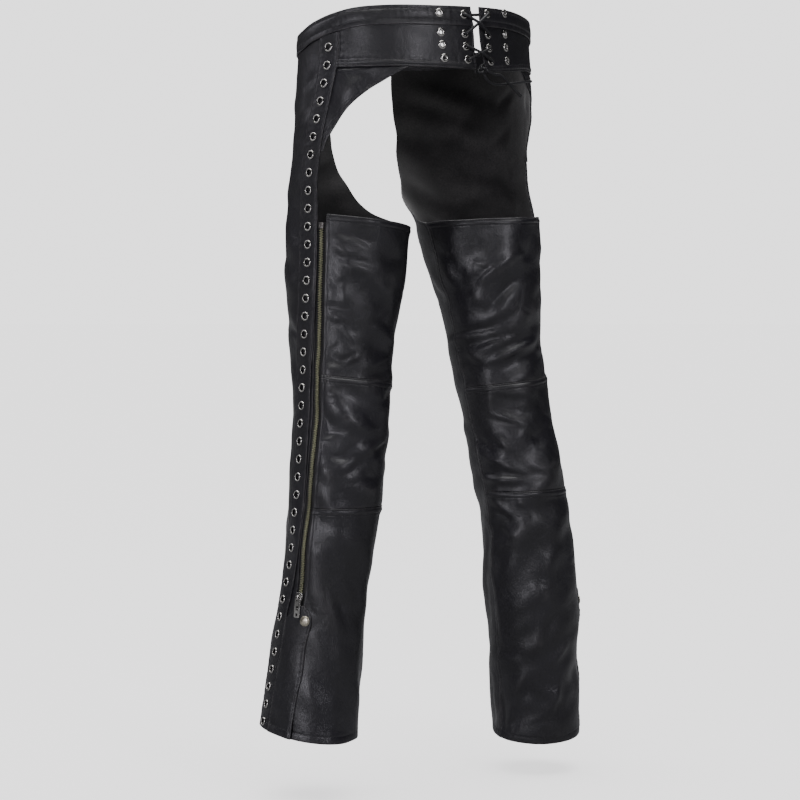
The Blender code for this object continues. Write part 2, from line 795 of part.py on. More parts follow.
def belt_half(side, material):
    """The left half carries the buckle; the right half runs through it and ends in a tip."""
    back_end = opening_turn(side, 0.0)
    past_front = -LEFT_END_GAP if side == "left" else BELT_TIP
    end = FRONT_TURN - past_front / FRONT_REACH
    turns = steps_between(back_end, end, BELT_STEP / WAIST_RADIUS)
    if side == "right":
        turns += [end + share * BELT_WIDTH / 2 / FRONT_REACH for share in TIP_STEPS]
        turns.sort(reverse=True)
    rows = []
    for lift_share in (0.0, 1.0):
        layer = []
        for width_share in (0.0, 0.5, 1.0):
            row = []
            for turn in turns:
                past = (FRONT_TURN - turn) * FRONT_REACH
                low = OVERLAY + belt_rise(past) if side == "right" else OVERLAY
                narrowing = tip_narrowing(past) if side == "right" else 0.0
                top = belt_line(side, turn)
                height = top - BELT_WIDTH * (width_share + (0.5 - width_share) * narrowing)
                lean = opening_turn(side, height) - back_end
                leaning = turn + lean * ease((turn - FRONT_TURN) / (back_end - FRONT_TURN))
                row.append(lifted(waist_form, side, leaning, height, low + BELT_THICKNESS * lift_share))
            layer.append(row)
        rows.append(layer)
    item = make_object(f"belt_{side}", wall(*rows), material)
    cut(item, eyelet_holes(side, (0,), "belt", OVERLAY))
    if side == "right":
        length, width = PRONG_SLOT
        slot = moved(prism(rounded_rectangle(width, length, width * 0.4), -CUT_REACH / 3, 4 * CUT_REACH),
                     front_frame(OVERLAY) @ Matrix.Rotation(math.pi / 2, 4, "Z"))
        cut(item, cutter("prong_slot", slot))
    return item


def belt_line(side, turn):
    """The belt's upper edge; past the front the right half follows the left one."""
    if turn < FRONT_TURN:
        return belt_top("left", 2 * FRONT_TURN - turn)
    return belt_top(side, turn)


def belt_rise(past):
    """How far the right half stands off at a distance past the middle of the front."""
    over_bar = 2 * (BUCKLE_BAR + SEAM_GAP)
    on_belt = BELT_THICKNESS + SEAM_GAP
    if past < RISE_END:
        return SEAM_GAP + over_bar * ease((past - RISE_START) / (RISE_END - RISE_START))
    settled = ease((past - FALL_START) / (FALL_END - FALL_START))
    return on_belt + (SEAM_GAP + over_bar - on_belt) * (1 - settled)


def tip_narrowing(past):
    """The tip is a half round on the end of the strap."""
    into = max(0.0, past - (BELT_TIP - BELT_WIDTH / 2)) / (BELT_WIDTH / 2)
    return 1 - math.sqrt(max(TIP_BLUNTNESS, 1 - min(1.0, into) ** 2))


# ---- eyelets, lace and knot -------------------------------------------------
def eyelet_place(side, column, row):
    """The turn and height of a back eyelet."""
    distance = EYELET_COLUMNS[column]
    height = EYELET_ROWS[side][row] + YOKES[side].tilt * (distance - EYELET_COLUMNS[0])
    return opening_turn(side, height, distance), height


def eyelet_holes(side, rows, owner, low):
    radius = EYELET_BARREL + SEAM_GAP
    drill = turned([(radius, low + end) for end in EYELET_DRILL], EYELET_SIDES, False)
    shapes = [moved(drill, surface_frame(waist_form, side, *eyelet_place(side, column, row)))
              for column in (0, 1) for row in rows]
    return cutter(f"{owner}_holes_{side}", joined(shapes))


def back_eyelets(side, material):
    """Four rows in two columns a side; the top row goes through the belt."""
    for row in range(len(EYELET_ROWS[side])):
        low, seat = (OVERLAY, BELT_TOP_LIFT) if row == 0 else (0.0, LEATHER)
        seat += SEAM_GAP
        middle = (EYELET_HOLE + EYELET_FLANGE) / 2
        profile = [
            (EYELET_HOLE, low), (EYELET_HOLE, seat + EYELET_HEIGHT * 0.7), (middle, seat + EYELET_HEIGHT),
            (EYELET_FLANGE, seat + EYELET_HEIGHT * 0.25), (EYELET_FLANGE, seat), (EYELET_BARREL, seat),
            (EYELET_BARREL, low),
        ]
        for column, label in enumerate(("inner", "outer")):
            name = f"back_eyelet_{side}_{label}_{row + 1}"
            item = make_object(name, turned(profile, EYELET_SIDES, True), material)
            place(item, surface_frame(waist_form, side, *eyelet_place(side, column, row)))


def waist_place(x, height, lift):
    """A point over the back of the waist; x is + to the wearer's left."""
    return lifted(waist_form, "left", waist_turn("left", x, height), height, lift)


def rounded_path(corners, radius, bend_steps=3):
    """The points of a cord through corners, each turned as an arc of the radius."""
    points = [corners[0]]
    for before, corner, after in zip(corners, corners[1:], corners[2:]):
        to_before, to_after = (before - corner), (after - corner)
        bend = math.pi - to_before.angle(to_after)
        cut_back = min(radius * math.tan(bend / 2), 0.49 * to_before.length, 0.49 * to_after.length)
        start = corner + to_before.normalized() * cut_back
        end = corner + to_after.normalized() * cut_back
        for step in range(bend_steps + 1):
            share = step / bend_steps
            points.append(start * (1 - share) ** 2 + corner * 2 * share * (1 - share) + end * share**2)
    points.append(corners[-1])
    return points


def smooth_route(corners, count):
    """Evenly spaced points of a smooth curve through the route's own points."""
    ends = [corners[0] * 2 - corners[1], *corners, corners[-1] * 2 - corners[-2]]
    fine = []
    for p0, p1, p2, p3 in zip(ends, ends[1:], ends[2:], ends[3:]):
        for step in range(8):
            t = step / 8
            fine.append(0.5 * ((2 * p1) + (p2 - p0) * t + (2 * p0 - 5 * p1 + 4 * p2 - p3) * t * t
                               + (3 * p1 - p0 - 3 * p2 + p3) * t**3))
    fine.append(corners[-1])
    lengths = [0.0]
    for a, b in zip(fine, fine[1:]):
        lengths.append(lengths[-1] + (b - a).length)
    points = []
    for i in range(count):
        wanted = lengths[-1] * i / (count - 1)
        index = max(k for k in range(len(fine) - 1) if lengths[k] <= wanted + 1e-9)
        share = (wanted - lengths[index]) / (lengths[index + 1] - lengths[index])
        points.append(fine[index].lerp(fine[index + 1], min(1.0, share)))
    return points


def cord(name, points, material):
    curve = bpy.data.curves.new(name, "CURVE")
    curve.dimensions = "3D"
    curve.bevel_depth = LACE / 2
    curve.bevel_resolution = 2
    curve.use_fill_caps = True
    spline = curve.splines.new("POLY")
    spline.points.add(len(points) - 1)
    for spot, point in zip(spline.points, points):
        spot.co = (*point, 1.0)
    curve.materials.append(material)
    item = bpy.data.objects.new(name, curve)
    bpy.context.scene.collection.objects.link(item)
    return item


def back_lace(material):
    """One lace: through the top eyelets, crossed twice over the opening, ends behind the knot."""
    outside = [seat + EYELET_HEIGHT + 2 * SEAM_GAP + LACE / 2
               for seat in (BELT_TOP_LIFT, LEATHER, LEATHER, LEATHER)]
    inside = -(LACE / 2 + LACE_BEHIND)

    def through(side, row, outwards):
        turn, height = eyelet_place(side, 0, row)
        lifts = (inside, outside[row]) if outwards else (outside[row], inside)
        return [lifted(waist_form, side, turn, height, lift) for lift in lifts]

    def crossing(row, over):
        rows = [EYELET_ROWS[side][r] for side in SIDES for r in (row, row + 1)]
        middle = sum(rows) / len(rows)
        lift = outside[row + 1] + CROSSING_LIFT[row]
        return [waist_place(read_rows(OPENING, middle)[0], middle,
                            lift + (LACE + 2 * SEAM_GAP if over else 0.0))]

    corners = [waist_place(*stop) for stop in reversed(LACE_TAILS["left"])]
    corners += through("left", 3, True) + crossing(2, False) + through("right", 2, False)
    corners += through("right", 1, True) + crossing(0, True) + through("left", 0, False)
    corners += through("right", 0, True) + crossing(0, False) + through("left", 1, False)
    corners += through("left", 2, True) + crossing(2, True) + through("right", 3, False)
    corners += [waist_place(*stop) for stop in LACE_TAILS["right"]]
    return cord("back_lace", rounded_path(corners, LACE_BEND), material)


def lace_knot(material):
    """A plain knot over the lower edge of the yokes, made as a squashed ball."""
    wide, tall, deep = KNOT_SIZE
    profile = [(math.sin(math.radians(a)) / 2, math.cos(math.radians(a)) / 2)
               for a in (166, 140, 112, 90, 68, 40, 14)]
    points, faces = turned(profile, 12, False)
    points = [(x * wide, y * tall, z * deep) for x, y, z in points]
    item = make_object("lace_knot", (points, faces), material)
    turn = waist_turn("left", KNOT_PLACE[0], KNOT_PLACE[1])
    frame = surface_frame(waist_form, "left", turn, KNOT_PLACE[1], math.radians(KNOT_LEAN))
    return place(item, frame @ Matrix.Translation((0, 0, OVERLAY + deep / 2)))


def lace_ends(material):
    for name, stops in LACE_ENDS.items():
        route = [waist_place(*stop) for stop in stops]
        cord(f"lace_end_{name}", smooth_route(route, LACE_END_POINTS), material)


# ---- zip, snap and buckle ---------------------------------------------------
def zip_strip(name, side, half_width, low, high, cells, top, bottom, material):
    heights = [h for h in (*leg_heights(), CHAIN_TOP, ZIP_END) if bottom < h < top]
    places = []
    for height in [top, *sorted(heights, reverse=True), bottom]:
        places.append([(zip_angle(side, height, half_width * (2 * i / cells - 1)), height)
                       for i in range(cells + 1)])
    return panel(f"{name}_{side}", side, places, low, high, material)


def zip_parts(side, materials):
    tape_high = -TAPE_GAP
    zip_strip("zip_tape", side, ZIP_OPENING / 2 + ZIP_MARGIN, tape_high - TAPE_THICKNESS, tape_high, 2,
              ZIP_TOP, ZIP_END - TAPE_TAIL, materials["tape"])
    chain_low = tape_high + SEAM_GAP
    chain_high = chain_low + CHAIN_HEIGHT
    zip_strip("zip_chain", side, CHAIN_WIDTH / 2, chain_low, chain_high, 1,
              CHAIN_TOP, ZIP_END, materials["brass"])
    width, length, height = ZIP_BOX
    frame = surface_frame(leg_form, side, zip_angle(side, ZIP_TOP), ZIP_TOP)
    box_low = chain_low + SEAM_GAP
    box = make_object(f"zip_box_{side}", prism(rounded_rectangle(width, length, 0.0015), box_low,
                                               box_low + height), materials["nickel"])
    place(box, frame)
    slider_seat = chain_high + SEAM_GAP
    zip_slider(side, slider_seat, materials["nickel"])
    return zip_pull(side, slider_seat + SLIDER_THICKNESS, materials["nickel"])


def slider_frame(side):
    return surface_frame(leg_form, side, zip_angle(side, SLIDER_PLACE), SLIDER_PLACE,
                         MIRROR[side] * math.radians(PULL_LEAN))


def zip_slider(side, seat, material):
    """A tapered plate over the chain with the bail that the pull hangs from."""
    half, tail = SLIDER_WIDTH / 2, SLIDER_WIDTH * 0.32
    outline = [(-half, -SLIDER_LENGTH * 0.35), (-half * 0.6, -SLIDER_LENGTH / 2),
               (half * 0.6, -SLIDER_LENGTH / 2), (half, -SLIDER_LENGTH * 0.35),
               (half, SLIDER_LENGTH * 0.05), (tail, SLIDER_LENGTH / 2), (-tail, SLIDER_LENGTH / 2),
               (-half, SLIDER_LENGTH * 0.05)]
    item = make_object(f"zip_slider_{side}", prism(outline, seat, seat + SLIDER_THICKNESS), material)
    place(item, slider_frame(side))
    top = seat + SLIDER_THICKNESS
    reach = BAIL_OPENING / 2
    inner = [(-reach, top - 0.0005), (-reach, top + BAIL_CLEAR), (reach, top + BAIL_CLEAR),
             (reach, top - 0.0005)]
    outer = [(reach + BAIL_WALL, top - 0.0005), (reach + BAIL_WALL, top + BAIL_CLEAR + BAIL_WALL * 0.5),
             (reach * 0.7, top + BAIL_CLEAR + BAIL_WALL), (-reach * 0.7, top + BAIL_CLEAR + BAIL_WALL),
             (-reach - BAIL_WALL, top + BAIL_CLEAR + BAIL_WALL * 0.5), (-reach - BAIL_WALL, top - 0.0005)]
    points, faces = prism(inner + outer, -BAIL_WIDTH / 2, BAIL_WIDTH / 2)
    bail = ([(z, x, y) for x, y, z in points], faces)
    cut(item, cutter(f"bail_{side}", bail, slider_frame(side)), "UNION")
    return item


def zip_pull(side, plate_top, material):
    """The pull lies down the leg; its bar turns inside the bail. Returns the joint's empty."""
    centre = plate_top + BAIL_CLEAR / 2
    hinge = bpy.data.objects.new(f"pull_hinge_{side}", None)
    bpy.context.scene.collection.objects.link(hinge)
    hinge.matrix_world = slider_frame(side) @ Matrix.Translation((0, 0, centre))
    half = PULL_THICKNESS / 2
    plate = prism(rounded_rectangle(PULL_WIDTH, PULL_LENGTH, 0.0018, -PULL_BAR / 2), -half, half)
    item = make_object(f"zip_pull_{side}", plate, material)
    width, length = PULL_EYE
    outlines = [rounded_rectangle(width, length, PULL_HOLE * 0.3, PULL_BAR / 2, 1)]
    for along in PULL_HOLES:
        outlines.append(rounded_rectangle(PULL_HOLE * 2, PULL_HOLE * 3, PULL_HOLE * 0.8, along, 2))
    holes = [prism(outline, -CUT_REACH, CUT_REACH) for outline in outlines]
    cut(item, cutter(f"pull_holes_{side}", joined(holes), hinge.matrix_world))
    item.parent = hinge
    return hinge


def snap(side, material):
    """The domed cap of the press stud on the flap."""
    seat = FLAP_LIFT + LEATHER + SEAM_GAP
    radius = SNAP_RADIUS
    profile = [(radius * 0.93, seat), (radius, seat + SNAP_HEIGHT * 0.3),
               (radius * 0.9, seat + SNAP_HEIGHT * 0.62), (radius * 0.6, seat + SNAP_HEIGHT * 0.92),
               (radius * 0.2, seat + SNAP_HEIGHT)]
    item = make_object(f"snap_{side}", turned(profile, 16, False), material)
    return place(item, surface_frame(leg_form, side, math.radians(SNAP_ANGLE), SNAP_PLACE))


def front_frame(lift):
    """Axes at the middle of the belt's front: X to the wearer's left, Y up, Z outwards."""
    middle = belt_top("left", FRONT_TURN) - BELT_WIDTH / 2
    frame = surface_frame(waist_form, "left", FRONT_TURN, middle)
    return frame @ Matrix.Rotation(math.pi, 4, "Z") @ Matrix.Translation((0, 0, lift))


def buckle(material):
    """Frame and prong of the front closure; the frame tilts up from its heel bar."""
    bar = BUCKLE_BAR
    half = BUCKLE_HEIGHT / 2
    outer = rounded_rectangle(BUCKLE_LENGTH + 2 * bar, BUCKLE_HEIGHT, 3.3 * bar)
    inner = rounded_rectangle(BUCKLE_LENGTH - 2 * bar, BUCKLE_HEIGHT - 4 * bar, 1.3 * bar, 2 * bar)
    ring = ring_prism(outer, inner, -bar, bar)
    item = make_object("buckle_frame", ring, material)
    heel_lift = OVERLAY + BUCKLE_SEAT + bar
    back_to_heel = Matrix.Translation((-BUCKLE_LENGTH / 2, -half, 0.0))
    tilt = Matrix.Rotation(math.radians(BUCKLE_TILT), 4, "Y")
    place(item, front_frame(heel_lift) @ tilt @ back_to_heel)
    far_top = BUCKLE_LENGTH * math.tan(math.radians(BUCKLE_TILT)) + bar + SEAM_GAP
    lower = [(0.08, bar + SEAM_GAP / 3), (0.42, bar + 2.4 * PRONG_THICKNESS), (0.94, far_top)]
    upper = [(1.07, far_top), (1.07, far_top + 0.8 * PRONG_THICKNESS), (1.00, far_top + PRONG_THICKNESS),
             (0.40, bar + 3.4 * PRONG_THICKNESS), (0.08, bar + PRONG_THICKNESS)]
    profile = [(-share * BUCKLE_LENGTH, lift) for share, lift in lower + upper]
    points, faces = prism(profile, -PRONG_WIDTH / 2, PRONG_WIDTH / 2)
    item = make_object("buckle_prong", ([(x, y, z) for x, z, y in points], faces), material)
    place(item, front_frame(heel_lift))


def ring_prism(outer, inner, low, high):
    """A closed frame between two outlines with the same number of points."""
    count = len(outer)
    points = [(x, y, z) for z in (low, high) for x, y in outer + inner]
    faces = []
    for i in range(count):
        j = (i + 1) % count
        for shift in (0, 2 * count):
            faces.append((shift + i, shift + j, shift + count + j, shift + count + i))
        faces.append((i, j, 2 * count + j, 2 * count + i))
        faces.append((count + i, count + j, 3 * count + j, 3 * count + i))
    return points, faces


def keeper(leather):
    """A leather loop round both layers of the belt."""
    low = OVERLAY - KEEPER_SLACK
    high = OVERLAY + 2 * BELT_THICKNESS + SEAM_GAP + KEEPER_SLACK
    thickness = KEEPER_THICKNESS
    sections = []
    for along in (-KEEPER_WIDTH / 2, KEEPER_WIDTH / 2):
        turn = FRONT_TURN + (KEEPER_PLACE + along) / FRONT_REACH
        top = belt_top("left", turn) + KEEPER_MARGIN
        bottom = top - BELT_WIDTH - 2 * KEEPER_MARGIN
        inner = [(low, top), (high, top), (high, bottom), (low, bottom)]
        outer = [(low - thickness, top + thickness), (high + thickness, top + thickness),
                 (high + thickness, bottom - thickness), (low - thickness, bottom - thickness)]
        sections.append([[lifted(waist_form, "left", turn, height, lift) for lift, height in ring]
                         for ring in (inner, outer)])
    points = [p for section in sections for ring in section for p in ring]
    faces = []
    for i in range(4):
        j = (i + 1) % 4
        faces.append((i, j, 8 + j, 8 + i))
        faces.append((4 + i, 4 + j, 12 + j, 12 + i))
        for shift in (0, 8):
            faces.append((shift + i, shift + j, shift + 4 + j, shift + 4 + i))
    return make_object("belt_keeper", (points, faces), leather)


# ---- build ------------------------------------------------------------------
def build():
    clear_scene()
    materials = {
        "leather": make_material("leather", (0.012, 0.012, 0.014), 0.42),
        "tape": make_material("zip_tape", (0.010, 0.010, 0.011), 0.85),
        "brass": make_material("antique_brass", (0.20, 0.18, 0.10), 0.38, 1.0),
        "nickel": make_material("aged_nickel", (0.36, 0.35, 0.31), 0.32, 1.0),
        "lace": make_material("lace_leather", (0.014, 0.014, 0.018), 0.50),
    }
    leather = materials["leather"]
    for side in SIDES:
        belt_half(side, leather)
        yoke(side, leather)
        hip_panel(side, leather)
        front_leg(side, leather)
        side_strip(side, leather)
        back_panels(side, leather)
        vent_flap(side, leather)
        hinge = zip_parts(side, materials)
        snap(side, materials["nickel"])
        back_eyelets(side, materials["nickel"])
        print(side, "pull hinge at", [round(v, 5) for v in hinge.matrix_world.translation],
              "axis", [round(v, 5) for v in hinge.matrix_world.to_3x3().col[0]])
    back_lace(materials["lace"])
    lace_knot(materials["lace"])
    lace_ends(materials["lace"])
    buckle(materials["nickel"])
    keeper(leather)


build()
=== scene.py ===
# %% [markdown]
# # Leather chaps, as they hang when worn
#
# Chaps are two leather legs that hang from one belt and leave the seat open. A maker cuts eighteen
# panels from soft black hide and sews them. Each leg gets a long zip, a row of eyelets and a press
# stud, and a lacing draws the back together. Every one of those pieces is built here on its own.
#
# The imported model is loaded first. It holds the sizes and stays where it is: each shell below takes
# the place of the plain solids of the same piece.

# %% Frame
import math
from collections import namedtuple

import bmesh
import bpy
import numpy as np
from mathutils import Matrix, Vector


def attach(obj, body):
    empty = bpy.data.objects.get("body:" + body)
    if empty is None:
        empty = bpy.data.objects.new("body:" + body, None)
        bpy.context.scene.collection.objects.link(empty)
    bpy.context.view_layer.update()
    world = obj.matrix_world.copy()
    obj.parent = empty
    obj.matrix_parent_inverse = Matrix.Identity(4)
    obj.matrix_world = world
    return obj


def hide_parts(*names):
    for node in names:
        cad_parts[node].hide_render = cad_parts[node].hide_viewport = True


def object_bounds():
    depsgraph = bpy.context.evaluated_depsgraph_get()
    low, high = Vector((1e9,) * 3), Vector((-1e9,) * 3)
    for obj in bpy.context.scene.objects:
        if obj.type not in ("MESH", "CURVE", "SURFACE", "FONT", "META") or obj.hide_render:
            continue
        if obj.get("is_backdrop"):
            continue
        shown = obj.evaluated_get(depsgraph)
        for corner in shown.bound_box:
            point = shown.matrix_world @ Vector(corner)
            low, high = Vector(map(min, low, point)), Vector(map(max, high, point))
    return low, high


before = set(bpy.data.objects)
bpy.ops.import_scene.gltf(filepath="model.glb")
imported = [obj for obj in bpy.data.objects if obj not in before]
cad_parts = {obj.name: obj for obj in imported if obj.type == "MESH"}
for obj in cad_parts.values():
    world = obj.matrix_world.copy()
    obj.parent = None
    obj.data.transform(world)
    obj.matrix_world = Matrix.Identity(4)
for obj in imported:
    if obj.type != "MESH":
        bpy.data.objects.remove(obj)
bpy.context.view_layer.update()
cad_box = [list(corner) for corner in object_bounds()]
SIDES = ("left", "right")
MIRROR = {"left": 1.0, "right": -1.0}
print("solids in the frame:", len(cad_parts), "box", np.round(cad_box, 4).tolist())

# %% [markdown]
# ## The camera
#
# The wearer faces -Y. The eye stands 3 m away behind the wearer's left hip, a little above the middle
# of the garment, so the left leg shows its outer side and the right leg its inner side.

# %% Camera
EYE_AZIMUTH = 140.0
EYE_DISTANCE = 3.0
EYE_HEIGHT = -0.3708
SIGHT_AZIMUTH = 140.41
SIGHT_TILT = -2.65
LENS = 97.2
SENSOR = 36.0


def toward(azimuth, tilt=0.0):
    """The direction of a sight line, with azimuth 0 along +Y and a tilt above the floor."""
    turn, rise = math.radians(azimuth), math.radians(tilt)
    return Vector((-math.sin(turn) * math.cos(rise), math.cos(turn) * math.cos(rise), math.sin(rise)))


def new_object(name, data):
    """An object in the scene for a mesh, a lamp or a camera."""
    item = bpy.data.objects.new(name, data)
    bpy.context.scene.collection.objects.link(item)
    return item


eye = -toward(EYE_AZIMUTH) * EYE_DISTANCE + Vector((0, 0, EYE_HEIGHT))
sight = toward(SIGHT_AZIMUTH, SIGHT_TILT)
across_view = sight.cross(Vector((0, 0, 1))).normalized()
up_view = across_view.cross(sight)
camera = new_object("camera", bpy.data.cameras.new("camera"))
camera.data.lens = LENS
camera.data.sensor_width = SENSOR
camera.data.clip_end = 60.0
camera.matrix_world = Matrix.Translation(eye) @ Matrix((across_view, up_view, -sight)).transposed().to_4x4()
bpy.context.scene.camera = camera
print("the eye is at", np.round(eye, 3).tolist())

# %% [markdown]
# ## Floor and light
#
# The floor is a wide pale disc under an even light from straight above. For the eye it also glows a
# little, so the shadow on it stays faint. Floor and room are pale to the eye and dim to the leather:
# black leather has almost no colour of its own, and what the eye reads as its folds is the shine of a
# few large lamps on it. The main lamp stands to the left of the eye, a little higher.


# %% Floor and lamps
FLOOR = -1.04
FLOOR_RADIUS = 60.0
FLOOR_SEEN = 0.46
FLOOR_LIT = 0.23
FLOOR_GLOW = 1.42
TOP_LIGHT = 4.5
TOP_SOFTNESS = 60.0
ROOM_SEEN = 2.14
ROOM_LIT = 0.038
Lamp = namedtuple("Lamp", "name azimuth tilt distance size power")
LAMPS = (
    Lamp("key", 110, 5, 3.4, 1.1, 29),
    Lamp("side", 172, 20, 3.2, 0.7, 22),
    Lamp("rim", 40, 35, 3.0, 1.8, 16),
)
LAMP_TINT = (0.95, 0.925, 1.0)
LIT_POINT = Vector((0.0, 0.0, -0.45))


def mesh_from(name, shape):
    """A mesh from an edited shape, which is then freed."""
    mesh = bpy.data.meshes.new(name)
    shape.to_mesh(mesh)
    shape.free()
    return mesh


def lathe(name, profile, sides, closed=False):
    """A mesh turned about Z from (radius, height) points, with one point where the radius is 0."""
    shape = bmesh.new()
    rings = []
    for radius, height in profile:
        count = sides if radius > 0 else 1
        turns = [2 * math.pi * i / count for i in range(count)]
        rings.append([shape.verts.new((radius * math.cos(t), radius * math.sin(t), height)) for t in turns])
    pairs = list(zip(rings, rings[1:] + rings[:1])) if closed else list(zip(rings, rings[1:]))
    for one, two in pairs:
        for i in range(sides):
            corners = [one[i % len(one)], one[(i + 1) % len(one)], two[(i + 1) % len(two)], two[i % len(two)]]
            corners = list(dict.fromkeys(corners))
            if len(corners) > 2:
                shape.faces.new(corners)
    bmesh.ops.recalc_face_normals(shape, faces=shape.faces)
    mesh = mesh_from(name, shape)
    mesh.shade_smooth()
    return mesh


def seen_or_lit(tree, seen, lit, socket):
    """One grey for the eye's own rays and another for the light that reaches the leather."""
    rays = tree.nodes.new("ShaderNodeLightPath")
    mix = tree.nodes.new("ShaderNodeMix")
    mix.data_type = "RGBA"
    mix.inputs[6].default_value = (lit, lit, lit * 1.03, 1)
    mix.inputs[7].default_value = (seen, seen * 0.991, seen * 0.997, 1)
    tree.links.new(rays.outputs["Is Camera Ray"], mix.inputs[0])
    tree.links.new(mix.outputs[2], socket)


floor_material = bpy.data.materials.new("floor")
floor_material.use_nodes = True
floor_shader = floor_material.node_tree.nodes["Principled BSDF"]
seen_or_lit(floor_material.node_tree, FLOOR_SEEN, FLOOR_LIT, floor_shader.inputs["Base Color"])
seen_or_lit(floor_material.node_tree, FLOOR_GLOW, 0.0, floor_shader.inputs["Emission Color"])
floor_shader.inputs["Emission Strength"].default_value = 1.0
floor_shader.inputs["Roughness"].default_value = 0.9
floor_shader.inputs["Specular IOR Level"].default_value = 0.0
floor = new_object("floor", lathe("floor", ((0.0, 0.0), (FLOOR_RADIUS, 0.0)), 64))
floor.data.transform(Matrix.Translation((0, 0, FLOOR)))
floor.data.materials.append(floor_material)
floor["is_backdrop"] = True
for lamp in LAMPS:
    light = bpy.data.lights.new(lamp.name, "AREA")
    light.shape = "DISK"
    light.size = lamp.size
    light.energy = lamp.power
    light.color = LAMP_TINT
    spot = new_object(lamp.name, light)
    spot.location = LIT_POINT - toward(lamp.azimuth, -lamp.tilt) * lamp.distance
    spot.rotation_euler = (LIT_POINT - spot.location).to_track_quat("-Z", "Y").to_euler()
above = bpy.data.lights.new("above", "SUN")
above.energy = TOP_LIGHT
above.angle = math.radians(TOP_SOFTNESS)
new_object("above", above)
world = bpy.data.worlds.new("studio")
world.use_nodes = True
seen_or_lit(world.node_tree, ROOM_SEEN, ROOM_LIT, world.node_tree.nodes["Background"].inputs["Color"])
bpy.context.scene.world = world
print("lamps:", [lamp.name for lamp in LAMPS])

# %% [markdown]
# ## Curves through short tables
#
# A garment's form is read from short tables: a few heights with a width, a depth or an angle each. A
# smooth cubic runs through the rows. Everything works on whole arrays of places at once, because a
# panel has tens of thousands of points.


# %% Reading a table
def read_curve(rows, at):
    """The columns of a table at places along its first column: a smooth curve through the rows."""
    table = np.array(sorted(tuple(row) for row in rows), float)
    knots, values = table[:, 0], table[:, 1:]
    at = np.clip(np.asarray(at, float), knots[0], knots[-1])
    low = np.clip(np.searchsorted(knots, at, side="right") - 1, 0, len(knots) - 2)
    before = np.maximum(np.arange(len(knots)) - 1, 0)
    after = np.minimum(np.arange(len(knots)) + 1, len(knots) - 1)
    slopes = (values[after] - values[before]) / (knots[after] - knots[before])[:, None]
    span = (knots[low + 1] - knots[low])[..., None]
    share = (at - knots[low])[..., None] / span
    cube, square = share**3, share**2
    result = (
        (2 * cube - 3 * square + 1) * values[low]
        + (cube - 2 * square + share) * slopes[low] * span
        + (3 * square - 2 * cube) * values[low + 1]
        + (cube - square) * slopes[low + 1] * span
    )
    return np.moveaxis(result, -1, 0)


def ease(share):
    share = np.clip(share, 0.0, 1.0)
    return share * share * (3 - 2 * share)


def path_length(points):
    """The length of a line of points, in metres."""
    return float(np.linalg.norm(np.diff(points, axis=0), axis=1).sum())


print("halfway between 0 and 1, the curve through 0, 1, 4 reads",
      float(read_curve(((0, 0), (1, 1), (2, 4)), 0.5)[0]))

# %% [markdown]
# ## The form of the body
#
# Hips and legs are ovals that change with height. Above the crotch each leg's oval is led into the
# oval of the hips. Heights are measured from the waist down, angles from the outer side of a leg
# towards its back.

# %% Hips and legs
# Columns: height, half width, half depth.
HIPS = (
    (0.03, 0.171, 0.127), (0.0, 0.173, 0.129), (-0.06, 0.176, 0.132), (-0.15, 0.184, 0.134),
    (-0.3, 0.192, 0.134),
)
# Columns: height, out, back, half width, half depth.
LEG_TOP = (
    (0.03, 0.085, 0.0, 0.086, 0.09), (-0.06, 0.088, 0.0, 0.086, 0.09), (-0.15, 0.096, -0.004, 0.086, 0.09),
)
LEGS = {
    "left": (
        *LEG_TOP, (-0.27, 0.107, -0.015, 0.082, 0.085),
        (-0.31, 0.11, -0.0145, 0.081, 0.084), (-0.38, 0.117, -0.013, 0.074, 0.077),
        (-0.45, 0.124, -0.0075, 0.0665, 0.0695), (-0.52, 0.131, 0.0, 0.063, 0.066),
        (-0.6, 0.1395, 0.002, 0.0615, 0.0645), (-0.68, 0.147, 0.0005, 0.059, 0.062),
        (-0.75, 0.154, -0.006, 0.056, 0.059), (-0.8, 0.159, -0.0105, 0.057, 0.061),
        (-0.86, 0.165, -0.0135, 0.06, 0.065), (-0.97, 0.176, -0.018, 0.063, 0.069),
    ),
    "right": (
        *LEG_TOP, (-0.265, 0.107, 0.008, 0.085, 0.088),
        (-0.33, 0.112, 0.018, 0.076, 0.079), (-0.38, 0.1165, 0.0245, 0.069, 0.072),
        (-0.44, 0.123, 0.029, 0.0635, 0.066), (-0.51, 0.13, 0.038, 0.061, 0.064),
        (-0.6, 0.139, 0.055, 0.061, 0.064), (-0.68, 0.147, 0.066, 0.0605, 0.0635),
        (-0.78, 0.157, 0.067, 0.063, 0.066), (-0.87, 0.166, 0.0635, 0.0605, 0.063),
        (-1.005, 0.179, 0.0545, 0.06, 0.063),
    ),
}
BLEND_TOP = -0.066
BLEND_END = -0.27


def leg_form(side, angle, height):
    """Points of the leather's inner face on a leg."""
    out, back, half_width, half_depth = read_curve(LEGS[side], height)
    across, along = np.cos(angle), np.sin(angle)
    reach = 1 / np.hypot(across / half_width, along / half_depth)
    wide, deep = read_curve(HIPS, height)
    square = (across / wide) ** 2 + (along / deep) ** 2
    linear = out * across / wide**2 + back * along / deep**2
    rest = (out / wide) ** 2 + (back / deep) ** 2 - 1
    to_hips = (-linear + np.sqrt(np.maximum(0.0, linear**2 - square * rest))) / square
    leg_share = ease((BLEND_TOP - height) / (BLEND_TOP - BLEND_END))
    reach = (1 - leg_share) * to_hips + leg_share * reach
    return np.stack([MIRROR[side] * (out + reach * across), back + reach * along, height + 0 * reach], -1)


def waist_form(side, turn, height):
    """Points of the waist: turn 0 is the side, 90 degrees the middle of the back."""
    wide, deep = read_curve(HIPS, height)
    return np.stack([MIRROR[side] * wide * np.cos(turn), deep * np.sin(turn), height + 0 * turn], -1)


